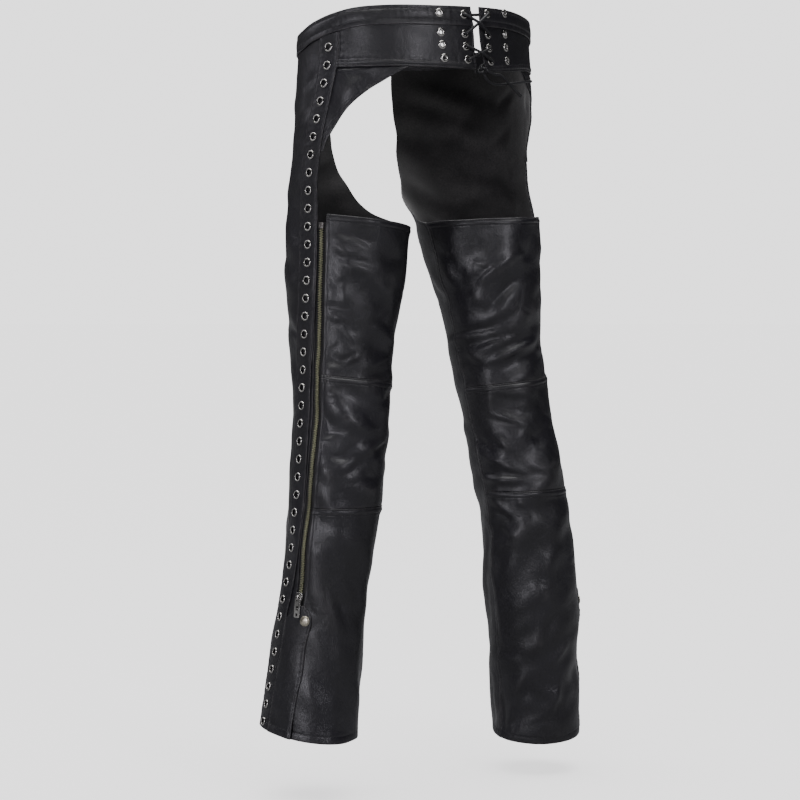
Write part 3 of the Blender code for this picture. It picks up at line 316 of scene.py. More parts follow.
def unit(vectors):
    return vectors / np.linalg.norm(vectors, axis=-1, keepdims=True)


def outward(form, side, turn, height):
    """The direction straight out of the leather at places on a form."""
    tiny = 1e-4
    around = form(side, turn + tiny, height) - form(side, turn - tiny, height)
    upward = form(side, turn, height + tiny) - form(side, turn, height - tiny)
    return unit(np.cross(around, upward)) * MIRROR[side]


def arc_angle(side, angle, height, distance):
    """The angle that lies a distance further round the leg, in metres on the leather."""
    tiny = 1e-3
    for _ in range(4):
        step = leg_form(side, angle + tiny, height) - leg_form(side, angle, height)
        angle = angle + distance / 4 / (np.linalg.norm(step, axis=-1) / tiny)
    return angle


def leg_place(side, points):
    """The angle round the leg of points in space."""
    out, back = read_curve(LEGS[side], points[..., 2])[:2]
    return np.arctan2(points[..., 1] - back, MIRROR[side] * points[..., 0] - out)


knee = leg_form("left", np.linspace(0, 2 * np.pi, 200), np.full(200, -0.5))
print("round the left knee:", round(path_length(knee), 3), "m")

# %% [markdown]
# ## The lines of the cut
#
# The belt's edge, the lacing's opening, the side strip, the zip, the curve of the seat and the seams
# are lines drawn on the body, each from its own short table. Every panel ends on one of them.

# %% Lines of the cut
LEATHER = 0.0016
BELT_THICKNESS = 0.002
STRIP_THICKNESS = 0.0014
SEAM_GAP = 0.0003
OVERLAY = LEATHER + SEAM_GAP
BELT_TOP_LIFT = OVERLAY + BELT_THICKNESS
FLAP_LIFT = OVERLAY + 0.0002
BELT_WIDTH = 0.0255
BELT_TUCK = 0.004
CROTCH = -0.263
STRIP_WIDTH = 0.03
STRIP_TOP_GAP = 0.0008
ZIP_OPENING = 0.013
ZIP_MARGIN = 0.006
INSEAM_ANGLE = 184.0
INSEAM_RADIUS = 0.07
ZIP_SIDE_ANGLE = 33.0
WAIST_LEVEL = -0.03
YOKE_MIDDLE = -0.04
HEM_LEVEL = -0.95
# Columns: turn, height.
BELT_TOPS = {
    "left": (
        (-90, -0.02), (-45, -0.0165), (-15, -0.0115), (0, -0.002), (15, 0.0068), (30, 0.0132), (48, 0.0159),
        (68, 0.0168), (90, 0.0188),
    ),
    "right": (
        (-90, -0.02), (-45, -0.0165), (-15, -0.011), (0, -0.002), (15, 0.0062), (30, 0.012), (48, 0.0163),
        (70, 0.0198), (90, 0.0192),
    ),
}
# Columns: height, middle, half gap.
OPENING = (
    (0.02, 0.0075, 0.0072), (0.005, 0.006, 0.0062), (-0.017, 0.0038, 0.0052), (-0.035, 0.0024, 0.006),
    (-0.064, -0.0022, 0.0082),
)
Hang = namedtuple("Hang", "hem tilt start reach")
YOKES = {"left": Hang(-0.0645, 0.0, 0.0, 0.0), "right": Hang(-0.0667, 0.11, 0.014, 0.095)}
# Columns: height, angle.
STRIP_LINE = (
    (0.02, 18.0), (-0.06, 17.5), (-0.11, 13.5), (-0.165, 9.0), (-0.21, 9.2), (-0.28, 13.2), (-0.35, 12.6),
    (-0.42, 8.0), (-0.5, -1.0), (-0.6, -2.2), (-0.7, -6.0), (-0.77, -12.0), (-0.84, -12.8), (-0.9, -16.5),
    (-1.0, -20.0),
)
ZIP_LINE = (
    (0.02, 32.0), (-0.06, 31.6), (-0.11, 27.4), (-0.165, 22.9), (-0.21, 23.0), (-0.26, 26.8), (-0.32, 27.6),
    (-0.39, 27.2), (-0.45, 25.0), (-0.51, 21.5), (-0.57, 20.8), (-0.63, 18.2), (-0.7, 16.8), (-0.76, 19.6),
    (-0.83, 19.0), (-1.0, 18.0),
)
SEAT_LINE = (
    (-0.0615, 85.5), (-0.083, 65.9), (-0.0945, 55.5), (-0.1125, 43.6), (-0.137, 31.8), (-0.16, 23.5),
    (-0.177, 20.8),
)
LAP_LINE = (
    (-0.777, 27.0), (-0.7815, 33.5), (-0.788, 38.6), (-0.796, 41.2), (-0.805, 41.4), (-0.816, 39.2),
    (-0.83, 37.3), (-0.85, 37.4), (-0.872, 37.4), (-0.89, 35.2), (-0.91, 33.4), (-0.94, 32.4), (-1.0, 32.0),
)
# Columns: share, angle, height.
FRONT_BAY = (
    (0.0, -103.0, -0.05), (0.17, -104.0, -0.096), (0.34, -107.0, -0.142), (0.51, -114.0, -0.183),
    (0.67, -126.0, -0.219), (0.84, -147.0, -0.248), (1.0, -176.0, -0.263),
)
Seams = namedtuple("Seams", "thigh_zip thigh_inseam knee_zip knee_inseam calf_zip calf_inseam")
CROSS_SEAMS = {
    "left": Seams(-0.257, -0.279, -0.47, -0.489, -0.647, -0.647),
    "right": Seams(-0.253, -0.263, -0.4755, -0.493, -0.633, -0.637),
}
Hem = namedtuple("Hem", "height dip low_angle")
HEMS = {"left": Hem(-0.9505, 0.0105, 107.0), "right": Hem(-0.983, 0.011, 125.0)}
HIP_PANEL_TIP = -0.1745
ZIP_TOP = -0.259
ZIP_END = -0.77
TAPE_TAIL = 0.018


def waist_turn(side, x, height):
    """The turn at the back of the waist of a place x, + to the wearer's left."""
    return np.arccos(MIRROR[side] * x / read_curve(HIPS, height)[0])


def opening_turn(side, height, distance=None):
    """The turn of a half's back edge, or of a place a distance from the opening's middle."""
    middle, half_gap = read_curve(OPENING, height)
    return waist_turn(side, middle + MIRROR[side] * (half_gap if distance is None else distance), height)


def belt_top(side, turn):
    return read_curve(BELT_TOPS[side], np.degrees(turn))[0]


def yoke_hem(side, turn):
    hang = YOKES[side]
    aside = read_curve(HIPS, hang.hem)[0] * np.cos(turn)
    return hang.hem + hang.tilt * np.clip(aside - hang.start, 0.0, hang.reach)


def turn_of(side, angle, height):
    """The waist turn of a place on the leg form."""
    point = leg_form(side, angle, height)
    wide, deep = read_curve(HIPS, height)
    return np.arctan2(point[..., 1] / deep, MIRROR[side] * point[..., 0] / wide)


def belt_edge_height(side, angle):
    return belt_top(side, turn_of(side, angle, WAIST_LEVEL + 0 * angle)) - BELT_WIDTH


def strip_angle(side, height, distance):
    return arc_angle(side, np.radians(read_curve(STRIP_LINE, height)[0]), height, distance)


def zip_angle(side, height, distance=0.0):
    return arc_angle(side, np.radians(read_curve(ZIP_LINE, height)[0]), height, distance)


def hem_height(side, angle):
    hem = HEMS[side]
    return hem.height - hem.dip * np.cos(angle - math.radians(hem.low_angle))


def seam_height(angle, zip_height, inseam_height):
    """A cross seam slopes from the zip to the inseam."""
    start, end = math.radians(ZIP_SIDE_ANGLE), math.radians(INSEAM_ANGLE)
    return zip_height + (inseam_height - zip_height) * np.clip((angle - start) / (end - start), 0, 1)


for side in SIDES:
    down_zip = np.linspace(ZIP_TOP, ZIP_END, 60)
    line = leg_form(side, zip_angle(side, down_zip), down_zip)
    print(side, "zip length:", round(path_length(line), 3), "m")

# %% [markdown]
# ## Folds
#
# Worn leather keeps its folds: long diagonal ones across the thigh, a nest of short ones behind the
# knee, shallow dents on the calf. Each is given as a stroke on the leg, from one place to
# another, with its own width, lift and bow. A positive lift is a ridge, a negative one a trough, and
# "twin" gives the share of the opposite move along the stroke's lower side. Angles are in degrees and
# the rest in millimetres, with heights counted down from the waist. Under the folds lies a slack
# waviness and a scatter of small wrinkles from a fixed seed.

# %% Folds, one by one
Fold = namedtuple("Fold", "angle height to_angle to_height width lift twin bow")
FOLD_ROWS = {
    "left": (
        # hip panel and the front of the hip
        (10, 68, -12, 93, 7, -2, 0.5, 3), (6, 98, -22, 143, 8, -1.8, 0.6, -4),
        (-8, 149, -30, 147, 7, -1.3, 0.5, -6), (52, 75, 34, 112, 10, 1.2, 0.4, 3),
        (-40, 75, -62, 150, 12, 1.8, 0.6, 5), (-55, 100, -85, 190, 12, -1.8, 0.5, 6),
        (-18, 210, -60, 250, 12, 1.9, 0.6, 6), (-30, 270, -95, 245, 11, 1.9, 0.6, -5),
        # back of the thigh
        (38, 281, 76, 299, 5, -1.7, 0.7, 3), (40, 297, 56, 317, 6, 1.9, 0.4, 2),
        (44, 314, 82, 330, 6, -2.1, 0.8, 3), (38, 327, 57, 345, 7, 1.6, 0.3, -2),
        (53, 324, 61, 341, 3, 1.1, 0.5, 0), (43, 348, 54, 333, 4, 1.2, 0.3, 1),
        (49, 343, 52, 378, 6, 1.6, 0.5, 2), (33, 379, 60, 391, 7, -2.1, 0.5, 3),
        (38, 396, 54, 394, 5, 1.3, 0.3, 0), (51, 404, 69, 430, 3, 1.4, 0.7, -1),
        (70, 345, 112, 378, 11, 1.9, 0.5, 7), (86, 318, 128, 306, 10, -1.5, 0.6, -5),
        (84, 395, 128, 428, 9, -1.7, 0.7, 5), (104, 424, 126, 437, 7, 2.1, 0.5, 3),
        # above and behind the knee
        (34, 433, 70, 446, 8, 1.7, 0.4, -3), (50, 454, 71, 440, 3, -1.5, 0.5, 1),
        (33, 461, 68, 457, 6, 1.6, 0.6, -2), (46, 468, 70, 452, 4, -1.2, 0.3, 0),
        (72, 466, 122, 451, 8, 1.8, 0.7, 4), (90, 508, 150, 489, 9, -1.9, 0.7, -4),
        (27, 496, 56, 495, 5, 1.5, 0.6, 0), (30, 514, 50, 534, 7, 1.3, 0.4, 2),
        (56, 520, 100, 541, 8, -1.8, 0.8, 5), (26, 552, 58, 548, 5, -1.5, 0.6, 2),
        (52, 598, 112, 556, 7, 1.9, 0.8, 4), (38, 574, 84, 578, 6, -1.8, 0.5, -3),
        (30, 592, 52, 620, 8, 1.4, 0.5, 2), (96, 566, 122, 556, 6, 1.8, 0.6, 0),
        (70, 618, 120, 606, 8, -1.5, 0.6, 3), (120, 470, 168, 500, 8, 1.7, 0.6, 3),
        (126, 540, 176, 515, 8, -1.7, 0.7, -4), (118, 590, 170, 610, 8, 1.6, 0.6, 4),
        # calf and hem
        (34, 700, 50, 710, 8, 1.3, 0.3, 0), (36, 668, 84, 684, 9, -1.3, 0.6, 4),
        (72, 732, 102, 775, 8, -1.8, 0.7, 3), (56, 712, 100, 828, 9, -1.9, 0.7, -4),
        (50, 760, 78, 850, 9, 1.6, 0.5, 4), (44, 855, 66, 928, 10, 1.8, 0.6, -4),
        (76, 850, 96, 942, 9, -1.8, 0.5, 4), (104, 700, 124, 820, 12, 1.7, 0.5, 5),
        (120, 830, 146, 935, 11, -1.7, 0.6, -5), (132, 660, 170, 705, 10, 1.6, 0.6, 5),
        (150, 760, 178, 860, 10, 1.6, 0.5, 4),
        # the strip's side and the front of the leg
        (-12, 478, 12, 484, 4, -1.2, 0.5, 0), (-34, 525, 14, 528, 6, -1.6, 0.7, 2),
        (-30, 411, 2, 417, 6, -1.6, 0.7, 2), (-28, 330, -64, 300, 10, -1.7, 0.6, 5),
        (-40, 372, -100, 352, 11, 2, 0.6, -6), (-70, 425, -120, 398, 11, -1.8, 0.7, 5),
        (-44, 452, -88, 470, 9, 1.9, 0.6, 4), (-60, 500, -124, 486, 10, -1.8, 0.6, -5),
        (-46, 560, -96, 586, 10, 1.8, 0.6, 5), (-80, 620, -140, 596, 11, -1.7, 0.6, 5),
        (-40, 650, -74, 700, 10, 1.6, 0.6, -4), (-60, 720, -112, 760, 12, -1.7, 0.5, 5),
        (-34, 790, -60, 860, 11, 1.6, 0.6, 4), (-70, 830, -130, 800, 10, 1.9, 0.7, -5),
        (-50, 890, -120, 868, 9, -2, 0.7, 5), (-36, 925, -100, 915, 8, 1.8, 0.6, 4),
        (-120, 320, -168, 345, 11, 1.8, 0.6, 5), (-130, 440, -172, 418, 9, -1.7, 0.6, 4),
        (-124, 680, -170, 660, 10, 1.7, 0.6, 4), (-136, 870, -172, 900, 9, 1.8, 0.6, -4),
    ),
    "right": (
        # back of the thigh
        (140, 264, 128, 312, 12, 1.7, 0.3, 2), (144, 346, 108, 308, 4, -1.8, 0.6, 2),
        (140, 350, 96, 312, 8, 1.9, 0.4, 3), (150, 360, 122, 380, 9, 1.6, 0.3, -3),
        (137, 392, 92, 338, 7, -2.4, 0.7, 4), (146, 405, 104, 381, 7, 2.1, 0.4, 3),
        (202, 420, 124, 405, 5, -2.4, 0.6, -2), (156, 437, 102, 415, 5, -2, 0.7, 3),
        (143, 452, 76, 422, 6, -2.5, 0.8, 4), (146, 461, 72, 428, 7, 2.3, 0.4, 4),
        (172, 438, 147, 457, 7, 1.7, 0.4, -2), (100, 296, 62, 330, 11, -1.6, 0.6, 5),
        (84, 372, 52, 402, 9, 1.9, 0.7, -4), (72, 440, 58, 446, 7, 2.4, 0.5, 2),
        (176, 300, 158, 352, 10, -1.5, 0.6, 4), (186, 366, 214, 330, 10, 1.8, 0.6, 4),
        # behind the knee
        (144, 480, 154, 532, 8, 1.9, 0.4, -3), (142, 498, 96, 499, 5, 1.7, 0.5, -2),
        (118, 484, 82, 486, 6, -1.7, 0.4, 0), (144, 512, 102, 528, 11, -1.9, 0.3, 0),
        (152, 529, 106, 548, 5, 1.9, 0.6, 3), (160, 552, 133, 582, 5, 2.2, 0.4, 2),
        (184, 562, 150, 588, 9, -2.1, 0.3, 0), (170, 590, 122, 612, 6, 2.2, 0.3, 3),
        (184, 613, 124, 614, 4, -2.6, 0.5, 1), (184, 621, 122, 622, 5, 1.8, 0.5, 1),
        (74, 500, 66, 545, 8, 2.3, 0.7, 3), (80, 530, 58, 540, 5, -1.9, 0.5, 0),
        (72, 568, 63, 600, 7, 2, 0.6, 2), (112, 558, 72, 584, 9, -1.8, 0.7, 4),
        (118, 598, 76, 604, 8, 1.7, 0.6, -3), (192, 480, 228, 505, 9, 1.8, 0.6, 4),
        (190, 545, 232, 530, 9, -1.8, 0.7, -4), (192, 596, 226, 618, 9, 1.7, 0.6, 4),
        # calf
        (178, 649, 145, 673, 5, 1.9, 0.5, 2), (140, 650, 128, 654, 5, 1.5, 0.4, 0),
        (168, 684, 144, 701, 6, 1.6, 0.5, 2), (187, 672, 206, 828, 8, -1.8, 0.7, 4),
        (181, 704, 174, 860, 7, 2.2, 0.5, -3), (120, 660, 70, 700, 10, -1.5, 0.6, 5),
        (130, 762, 108, 806, 10, 2.3, 0.3, 3), (112, 800, 129, 862, 8, 2.9, 0.6, 3),
        (86, 846, 112, 880, 7, 2.9, 0.6, -2), (192, 862, 136, 871, 9, -1.9, 0.4, 3),
        (146, 906, 88, 938, 9, 1.8, 0.5, 3), (98, 905, 118, 955, 7, 2.7, 0.7, -2),
        (141, 886, 172, 984, 7, 1.8, 0.7, 4), (200, 900, 196, 980, 7, 1.6, 0.5, 2),
        (180, 922, 178, 988, 5, -1.8, 0.5, 0), (118, 979, 88, 984, 7, 1.6, 0.3, 0),
        (62, 880, 54, 930, 8, 2.4, 0.6, 2), (76, 720, 60, 800, 11, 1.6, 0.6, 4),
        (150, 710, 176, 770, 11, -1.5, 0.5, 5), (100, 720, 92, 790, 11, -1.4, 0.5, 4),
        # hip, the strip's side and the front of the leg
        (8, 70, -16, 96, 7, -1.9, 0.5, 3), (2, 110, -26, 150, 9, -1.7, 0.6, -4),
        (50, 78, 32, 115, 10, 1.2, 0.4, -3), (-38, 80, -66, 145, 12, -1.8, 0.6, -5),
        (-58, 110, -84, 200, 12, 1.8, 0.5, -6), (-22, 215, -70, 235, 12, -1.8, 0.6, 6),
        (-34, 262, -100, 285, 11, 1.9, 0.6, 5), (40, 292, 70, 280, 8, -1.5, 0.6, 3),
        (-26, 340, -72, 318, 10, 1.8, 0.6, -5), (-44, 392, -106, 370, 11, -1.9, 0.6, 6),
        (-66, 432, -126, 452, 10, 1.8, 0.7, 5), (-30, 470, -84, 458, 9, -1.8, 0.6, -4),
        (-50, 520, -110, 540, 10, 1.9, 0.6, 5), (-36, 580, -92, 566, 10, -1.7, 0.6, 5),
        (-76, 628, -136, 650, 11, 1.7, 0.6, -5), (-38, 684, -88, 720, 11, -1.6, 0.6, 4),
        (-56, 780, -116, 752, 11, 1.8, 0.6, 5), (-30, 846, -82, 820, 10, -1.8, 0.7, -4),
        (-52, 900, -118, 922, 9, 2, 0.7, 5), (-34, 955, -96, 946, 8, -1.9, 0.6, 4),
        (30, 690, 58, 730, 9, 1.5, 0.6, 4), (28, 560, 56, 540, 8, -1.5, 0.6, 3),
        (30, 440, 54, 470, 8, 1.5, 0.6, -3),
    ),
}
FOLDS = {side: [Fold(angle, -height / 1000, to_angle, -to_height / 1000, *rest)
                for angle, height, to_angle, to_height, *rest in rows] for side, rows in FOLD_ROWS.items()}
MM = 0.001
PAST_ENDS = 1.16
END_TAPER = 1.3
CREST_POWER = 1.7
TWIN_PLACE, TWIN_WIDTH, TWIN_POWER = 1.45, 1.1, 1.9
STROKE_REACH = 5


def leg_radius(side, height):
    half_width, half_depth = read_curve(LEGS[side], height)[2:]
    return (half_width + half_depth) / 2


def wrapped(angle):
    """An angle difference, brought between minus and plus half a turn."""
    return (angle + np.pi) % (2 * np.pi) - np.pi


def stroke(fold, around, up, total):
    """Adds one fold to the total where it reaches; "around" is metres from the fold's own angle."""
    angle, height, to_angle, to_height, width, lift, twin, bow = fold
    width, lift, bow = width * MM, lift * MM, bow * MM
    reach_x, reach_y = around(to_angle), to_height - height
    length = math.hypot(reach_x, reach_y)
    x, y = around(None) - reach_x / 2, up - (height + to_height) / 2
    along = (x * reach_x + y * reach_y) / length
    aside = (y * reach_x - x * reach_y) / length
    if reach_x < 0:
        aside = -aside
    share = 2 * along / (length * PAST_ENDS)
    near = (np.abs(share) < 1) & (np.abs(aside) < STROKE_REACH * width + abs(bow))
    share, aside = share[near], aside[near]
    aside = aside - bow * (1 - share**2)
    taper = (1 - share**2) ** END_TAPER
    crest = np.exp(-((np.abs(aside) / width) ** CREST_POWER))
    lower = np.exp(-((np.abs(aside + TWIN_PLACE * width) / (TWIN_WIDTH * width)) ** TWIN_POWER))
    total[near] += lift * taper * (crest - twin * lower)


def placed_folds(side, angle, height, folds):
    total = np.zeros_like(angle)
    for fold in folds:
        radius = float(leg_radius(side, (fold.height + fold.to_height) / 2))
        start = math.radians(fold.angle)

        def around(to_angle, start=start, radius=radius):
            if to_angle is None:
                return wrapped(angle - start) * radius
            return float(wrapped(math.radians(to_angle) - start)) * radius

        stroke(fold, around, height, total)
    return total


print("folds placed by hand:", {side: len(FOLDS[side]) for side in SIDES})

# %% [markdown]
# ## Slack, small wrinkles and where the leather lies flat
#
# Between the folds the hide is never quite even. A sum of long waves gives the slack, and short
# wrinkles gather where the leg bends. Both fade where a zip, a strip or a belt holds the leather.

# %% Slack and small wrinkles
SLACK_WAVES = 26
SLACK = 0.0004
WRINKLES = 170
# Columns: height, weight.
WRINKLE_ZONES = (
    (-1.0, 0.8), (-0.9, 0.9), (-0.8, 0.5), (-0.7, 0.5), (-0.6, 1.6), (-0.5, 1.8), (-0.42, 1.7),
    (-0.34, 1.1), (-0.25, 0.5), (-0.1, 0.4),
)
HEAVIEST_ZONE = 1.8
WRINKLE_RANGE = (-0.99, -0.08)
WRINKLE_LENGTHS, WRINKLE_WIDTHS, WRINKLE_LIFTS = (10, 42), (2.2, 5.0), (0.25, 0.85)
WRINKLE_TWINS, WRINKLE_BOW, WRINKLE_SLOPE = (0.2, 0.8), 2, 32
USUAL_RADIUS = 0.07
SLACK_TURNS, SLACK_SIZES = 8, (0.4, 1.3)
SLACK_LENGTHS, SLACK_LENGTH = (0.035, 0.16), 0.1
SLACK_BEND, SLACK_BEND_LENGTH = 0.9, 0.07
NEAR_FULL, NEAR_FADE = 0.6, 0.8
HELD_BY_STRIP, STRIP_REACH = 0.72, 0.02
HELD_BY_ZIP, ZIP_REACH, ZIP_FADE = 0.55, 0.012, 0.02


def scattered_wrinkles(side, seed):
    """Short wrinkles, most of them where the leg bends."""
    dice = np.random.default_rng(seed)
    wrinkles = []
    while len(wrinkles) < WRINKLES:
        height = dice.uniform(*WRINKLE_RANGE)
        if dice.uniform(0, HEAVIEST_ZONE) > read_curve(WRINKLE_ZONES, height)[0]:
            continue
        angle = dice.uniform(-180, 180)
        length = dice.uniform(*WRINKLE_LENGTHS) * MM
        slope = math.radians(dice.normal(0, WRINKLE_SLOPE))
        turn = math.degrees(length * math.cos(slope) / USUAL_RADIUS)
        lift = dice.choice((-1, 1)) * dice.uniform(*WRINKLE_LIFTS)
        wrinkles.append(Fold(angle, height, angle + turn, height + length * math.sin(slope),
                             dice.uniform(*WRINKLE_WIDTHS), lift, dice.uniform(*WRINKLE_TWINS),
                             dice.normal(0, WRINKLE_BOW)))
    return wrinkles


def slack(side, angle, height, seed):
    """Long soft waves, whole in number round the leg."""
    dice = np.random.default_rng(seed)
    total = np.zeros_like(angle)
    for _ in range(SLACK_WAVES):
        turns = int(dice.integers(0, SLACK_TURNS))
        wave = dice.uniform(*SLACK_LENGTHS)
        phase, lean = dice.uniform(0, 2 * np.pi, 2)
        size = SLACK * dice.uniform(*SLACK_SIZES) * (wave / SLACK_LENGTH) ** 0.5
        total += size * np.sin(turns * angle + 2 * np.pi * height / wave + phase
                               + SLACK_BEND * np.sin(height / SLACK_BEND_LENGTH + lean))
    return total


def near_line(side, angle, line, height, reach):
    """1 on a line down the leg, 0 further than the reach from it."""
    middle = np.radians(read_curve(line, height)[0])
    distance = np.abs(wrapped(angle - middle)) * leg_radius(side, height)
    return 1 - ease((distance - NEAR_FULL * reach) / (NEAR_FADE * reach))


SMALL = {side: scattered_wrinkles(side, 11 + number) for number, side in enumerate(SIDES)}


# Round the slider with its pull and round the press stud the leather lies flat.
Calm = namedtuple("Calm", "angle height wide tall")
CALM = (Calm(19.6, -0.774, 0.012, 0.022), Calm(33.0, -0.7966, 0.011, 0.011))


# Down these lines of each leg the hide is pulled straighter.
PULLED_STRAIGHT = {"left": (-33.0, 147.0), "right": (51.0, 231.0)}
PULL_REACH = math.radians(22.0)
PULL = 0.58
FOLD_DEPTH = 1.28
WAIST_FOLDS, WAIST_END, WAIST_FADE = 0.3, -0.05, 0.04
CALF_START, CALF_FADE = -0.6, 0.12
CALM_REACH = 1.6
CALF_CALM = {"left": 0.38, "right": 0.12}


def worn(side, angle, height):
    """How far the worn leather stands out (+) or in (-) at places on a leg, in metres."""
    shape = angle.shape
    angle, height = np.ravel(angle).astype(float), np.ravel(height).astype(float)
    total = placed_folds(side, angle, height, FOLDS[side])
    total += placed_folds(side, angle, height, SMALL[side])
    total += slack(side, angle, height, 5 if side == "left" else 6)
    total *= 1 - HELD_BY_STRIP * near_line(side, angle, STRIP_LINE, height, STRIP_REACH)
    below_zip = ease((ZIP_TOP + ZIP_FADE - height) / ZIP_FADE)
    total *= 1 - HELD_BY_ZIP * near_line(side, angle, ZIP_LINE, height, ZIP_REACH) * below_zip
    total *= WAIST_FOLDS + (1 - WAIST_FOLDS) * ease((WAIST_END - height) / WAIST_FADE)
    total *= FOLD_DEPTH - CALF_CALM[side] * ease((CALF_START - height) / CALF_FADE)
    for line in PULLED_STRAIGHT[side]:
        total *= 1 - PULL * np.exp(-((wrapped(angle - math.radians(line)) / PULL_REACH) ** 2))
    for spot in CALM:
        around = wrapped(angle - math.radians(spot.angle)) * leg_radius(side, height) / spot.wide
        total *= 1 - ease(CALM_REACH - np.hypot(around, (height - spot.height) / spot.tall))
    return total.reshape(shape)


test = worn("left", *np.meshgrid(np.linspace(-3, 3, 200), np.linspace(-0.95, -0.1, 300)))
print("leather moves between", round(test.min() / MM, 1), "and", round(test.max() / MM, 1), "mm")

# %% [markdown]
# ## Finishes
#
# Each finish is one material made of nodes that read the object's own coordinates, in metres, so its
# grain has a real size. Grain and worn places are used by several finishes, so each is a node group.
# The worn places follow an attribute that the pieces carry: how near a point is to an edge, a stitch
# welt or a crest. There the colour is painted a lighter brown, partly for the colour that hands and knees
# take off and partly as a painted highlight on those ridges.


# %% Node helpers
def feed(tree, value, socket):
    """Wires another node's output into a socket, or sets the socket to a plain value."""
    if isinstance(value, bpy.types.NodeSocket):
        tree.links.new(value, socket)
    else:
        socket.default_value = value


def set_sockets(tree, node, **values):
    for name, value in values.items():
        feed(tree, value, node.inputs[name.replace("_", " ")])


def add_node(tree, kind, **settings):
    """A node with its settings; a setting that names an input goes to that socket."""
    node = tree.nodes.new(kind)
    for name, value in settings.items():
        if hasattr(node, name):
            setattr(node, name, value)
        else:
            set_sockets(tree, node, **{name: value})
    return node


def new_group(name, kind, inputs, outputs):
    """A node tree with named inputs and outputs, given as (name, socket type, default)."""
    tree = bpy.data.node_groups.new(name, kind)
    for label, socket, default in inputs:
        item = tree.interface.new_socket(name=label, in_out="INPUT", socket_type=socket)
        if default is not None:
            item.default_value = default
    for label, socket in outputs:
        tree.interface.new_socket(name=label, in_out="OUTPUT", socket_type=socket)
    return tree, tree.nodes.new("NodeGroupInput"), tree.nodes.new("NodeGroupOutput")


def math_node(tree, operation, first, second, clamp=False):
    node = add_node(tree, "ShaderNodeMath", operation=operation, use_clamp=clamp)
    feed(tree, first, node.inputs[0])
    feed(tree, second, node.inputs[1])
    return node.outputs[0]


def ramp_node(tree, value, low, high, start=0.0, end=1.0):
    """A value led from start to end as it goes from low to high, clamped."""
    node = add_node(tree, "ShaderNodeMapRange", interpolation_type="SMOOTHSTEP", Value=value,
                    From_Min=low, From_Max=high, To_Min=start, To_Max=end)
    return node.outputs["Result"]


def mix_colour(tree, factor, one, two):
    node = add_node(tree, "ShaderNodeMix", data_type="RGBA")
    for number, value in ((0, factor), (6, one), (7, two)):
        feed(tree, (*value, 1.0) if isinstance(value, tuple) else value, node.inputs[number])
    return node.outputs[2]


def noise(tree, **settings):
    """A noise laid out in the piece's own coordinates, in metres."""
    place = add_node(tree, "ShaderNodeTexCoord").outputs["Object"]
    return add_node(tree, "ShaderNodeTexNoise", Vector=place, **settings).outputs[0]


# %% Grain group
# Pebbled cells of a fixed size over fine creases: the height feeds a Bump node.
GRAIN_BEND = (0.0016, 0.0016, 0.0016)
grain_tree, grain_in, grain_out = new_group(
    "hide grain", "ShaderNodeTree",
    [("Cells", "NodeSocketFloat", 700.0), ("Crease", "NodeSocketFloat", 0.5)],
    [("Height", "NodeSocketFloat"), ("Pores", "NodeSocketFloat")])
place = add_node(grain_tree, "ShaderNodeTexCoord").outputs["Object"]
bend = add_node(grain_tree, "ShaderNodeTexNoise", Vector=place, Scale=160.0, Detail=2.0)
bent = add_node(grain_tree, "ShaderNodeVectorMath", operation="MULTIPLY_ADD")
for number, value in enumerate((bend.outputs["Color"], GRAIN_BEND, place)):
    feed(grain_tree, value, bent.inputs[number])
cells = add_node(grain_tree, "ShaderNodeTexVoronoi", feature="DISTANCE_TO_EDGE", Vector=bent.outputs[0],
                 Scale=grain_in.outputs["Cells"])
pebble = ramp_node(grain_tree, cells.outputs["Distance"], 0.0, 0.28)
creases = add_node(grain_tree, "ShaderNodeTexNoise", noise_type="RIDGED_MULTIFRACTAL", Vector=bent.outputs[0],
                   Scale=95.0, Detail=5.0)
crease = math_node(grain_tree, "MULTIPLY", creases.outputs[0], grain_in.outputs["Crease"])
set_sockets(grain_tree, grain_out, Height=math_node(grain_tree, "SUBTRACT", pebble, crease),
            Pores=math_node(grain_tree, "SUBTRACT", 1.0, pebble))

# %% Wear and painted highlight group
# Worn places and painted highlights on edges, welts and crests: the piece's own attribute, broken up by
# noise.
wear_and_highlight_tree, wear_and_highlight_in, wear_and_highlight_out = new_group(
    "rubbed places", "ShaderNodeTree", [("Patch", "NodeSocketFloat", 60.0)],
    [("Mask", "NodeSocketFloat"), ("Cloud", "NodeSocketFloat")])
rub = add_node(wear_and_highlight_tree, "ShaderNodeAttribute", attribute_name="rub")
patches = noise(wear_and_highlight_tree, Scale=wear_and_highlight_in.outputs["Patch"], Detail=6.0, Roughness=0.62)
broken = ramp_node(wear_and_highlight_tree, patches, 0.35, 0.68)
set_sockets(wear_and_highlight_tree, wear_and_highlight_out,
            Mask=math_node(wear_and_highlight_tree, "MULTIPLY", rub.outputs["Fac"], broken, clamp=True),
            Cloud=noise(wear_and_highlight_tree, Scale=11.0, Detail=4.0, Roughness=0.55))


def start_material(name):
    material = bpy.data.materials.new(name)
    material.use_nodes = True
    tree = material.node_tree
    return material, tree, tree.nodes["Principled BSDF"]


def bump(tree, height, distance, strength, **below):
    node = add_node(tree, "ShaderNodeBump", Distance=distance, Strength=strength, Height=height, **below)
    return node.outputs["Normal"]


print("node groups:", [tree.name for tree in (grain_tree, wear_and_highlight_tree)])
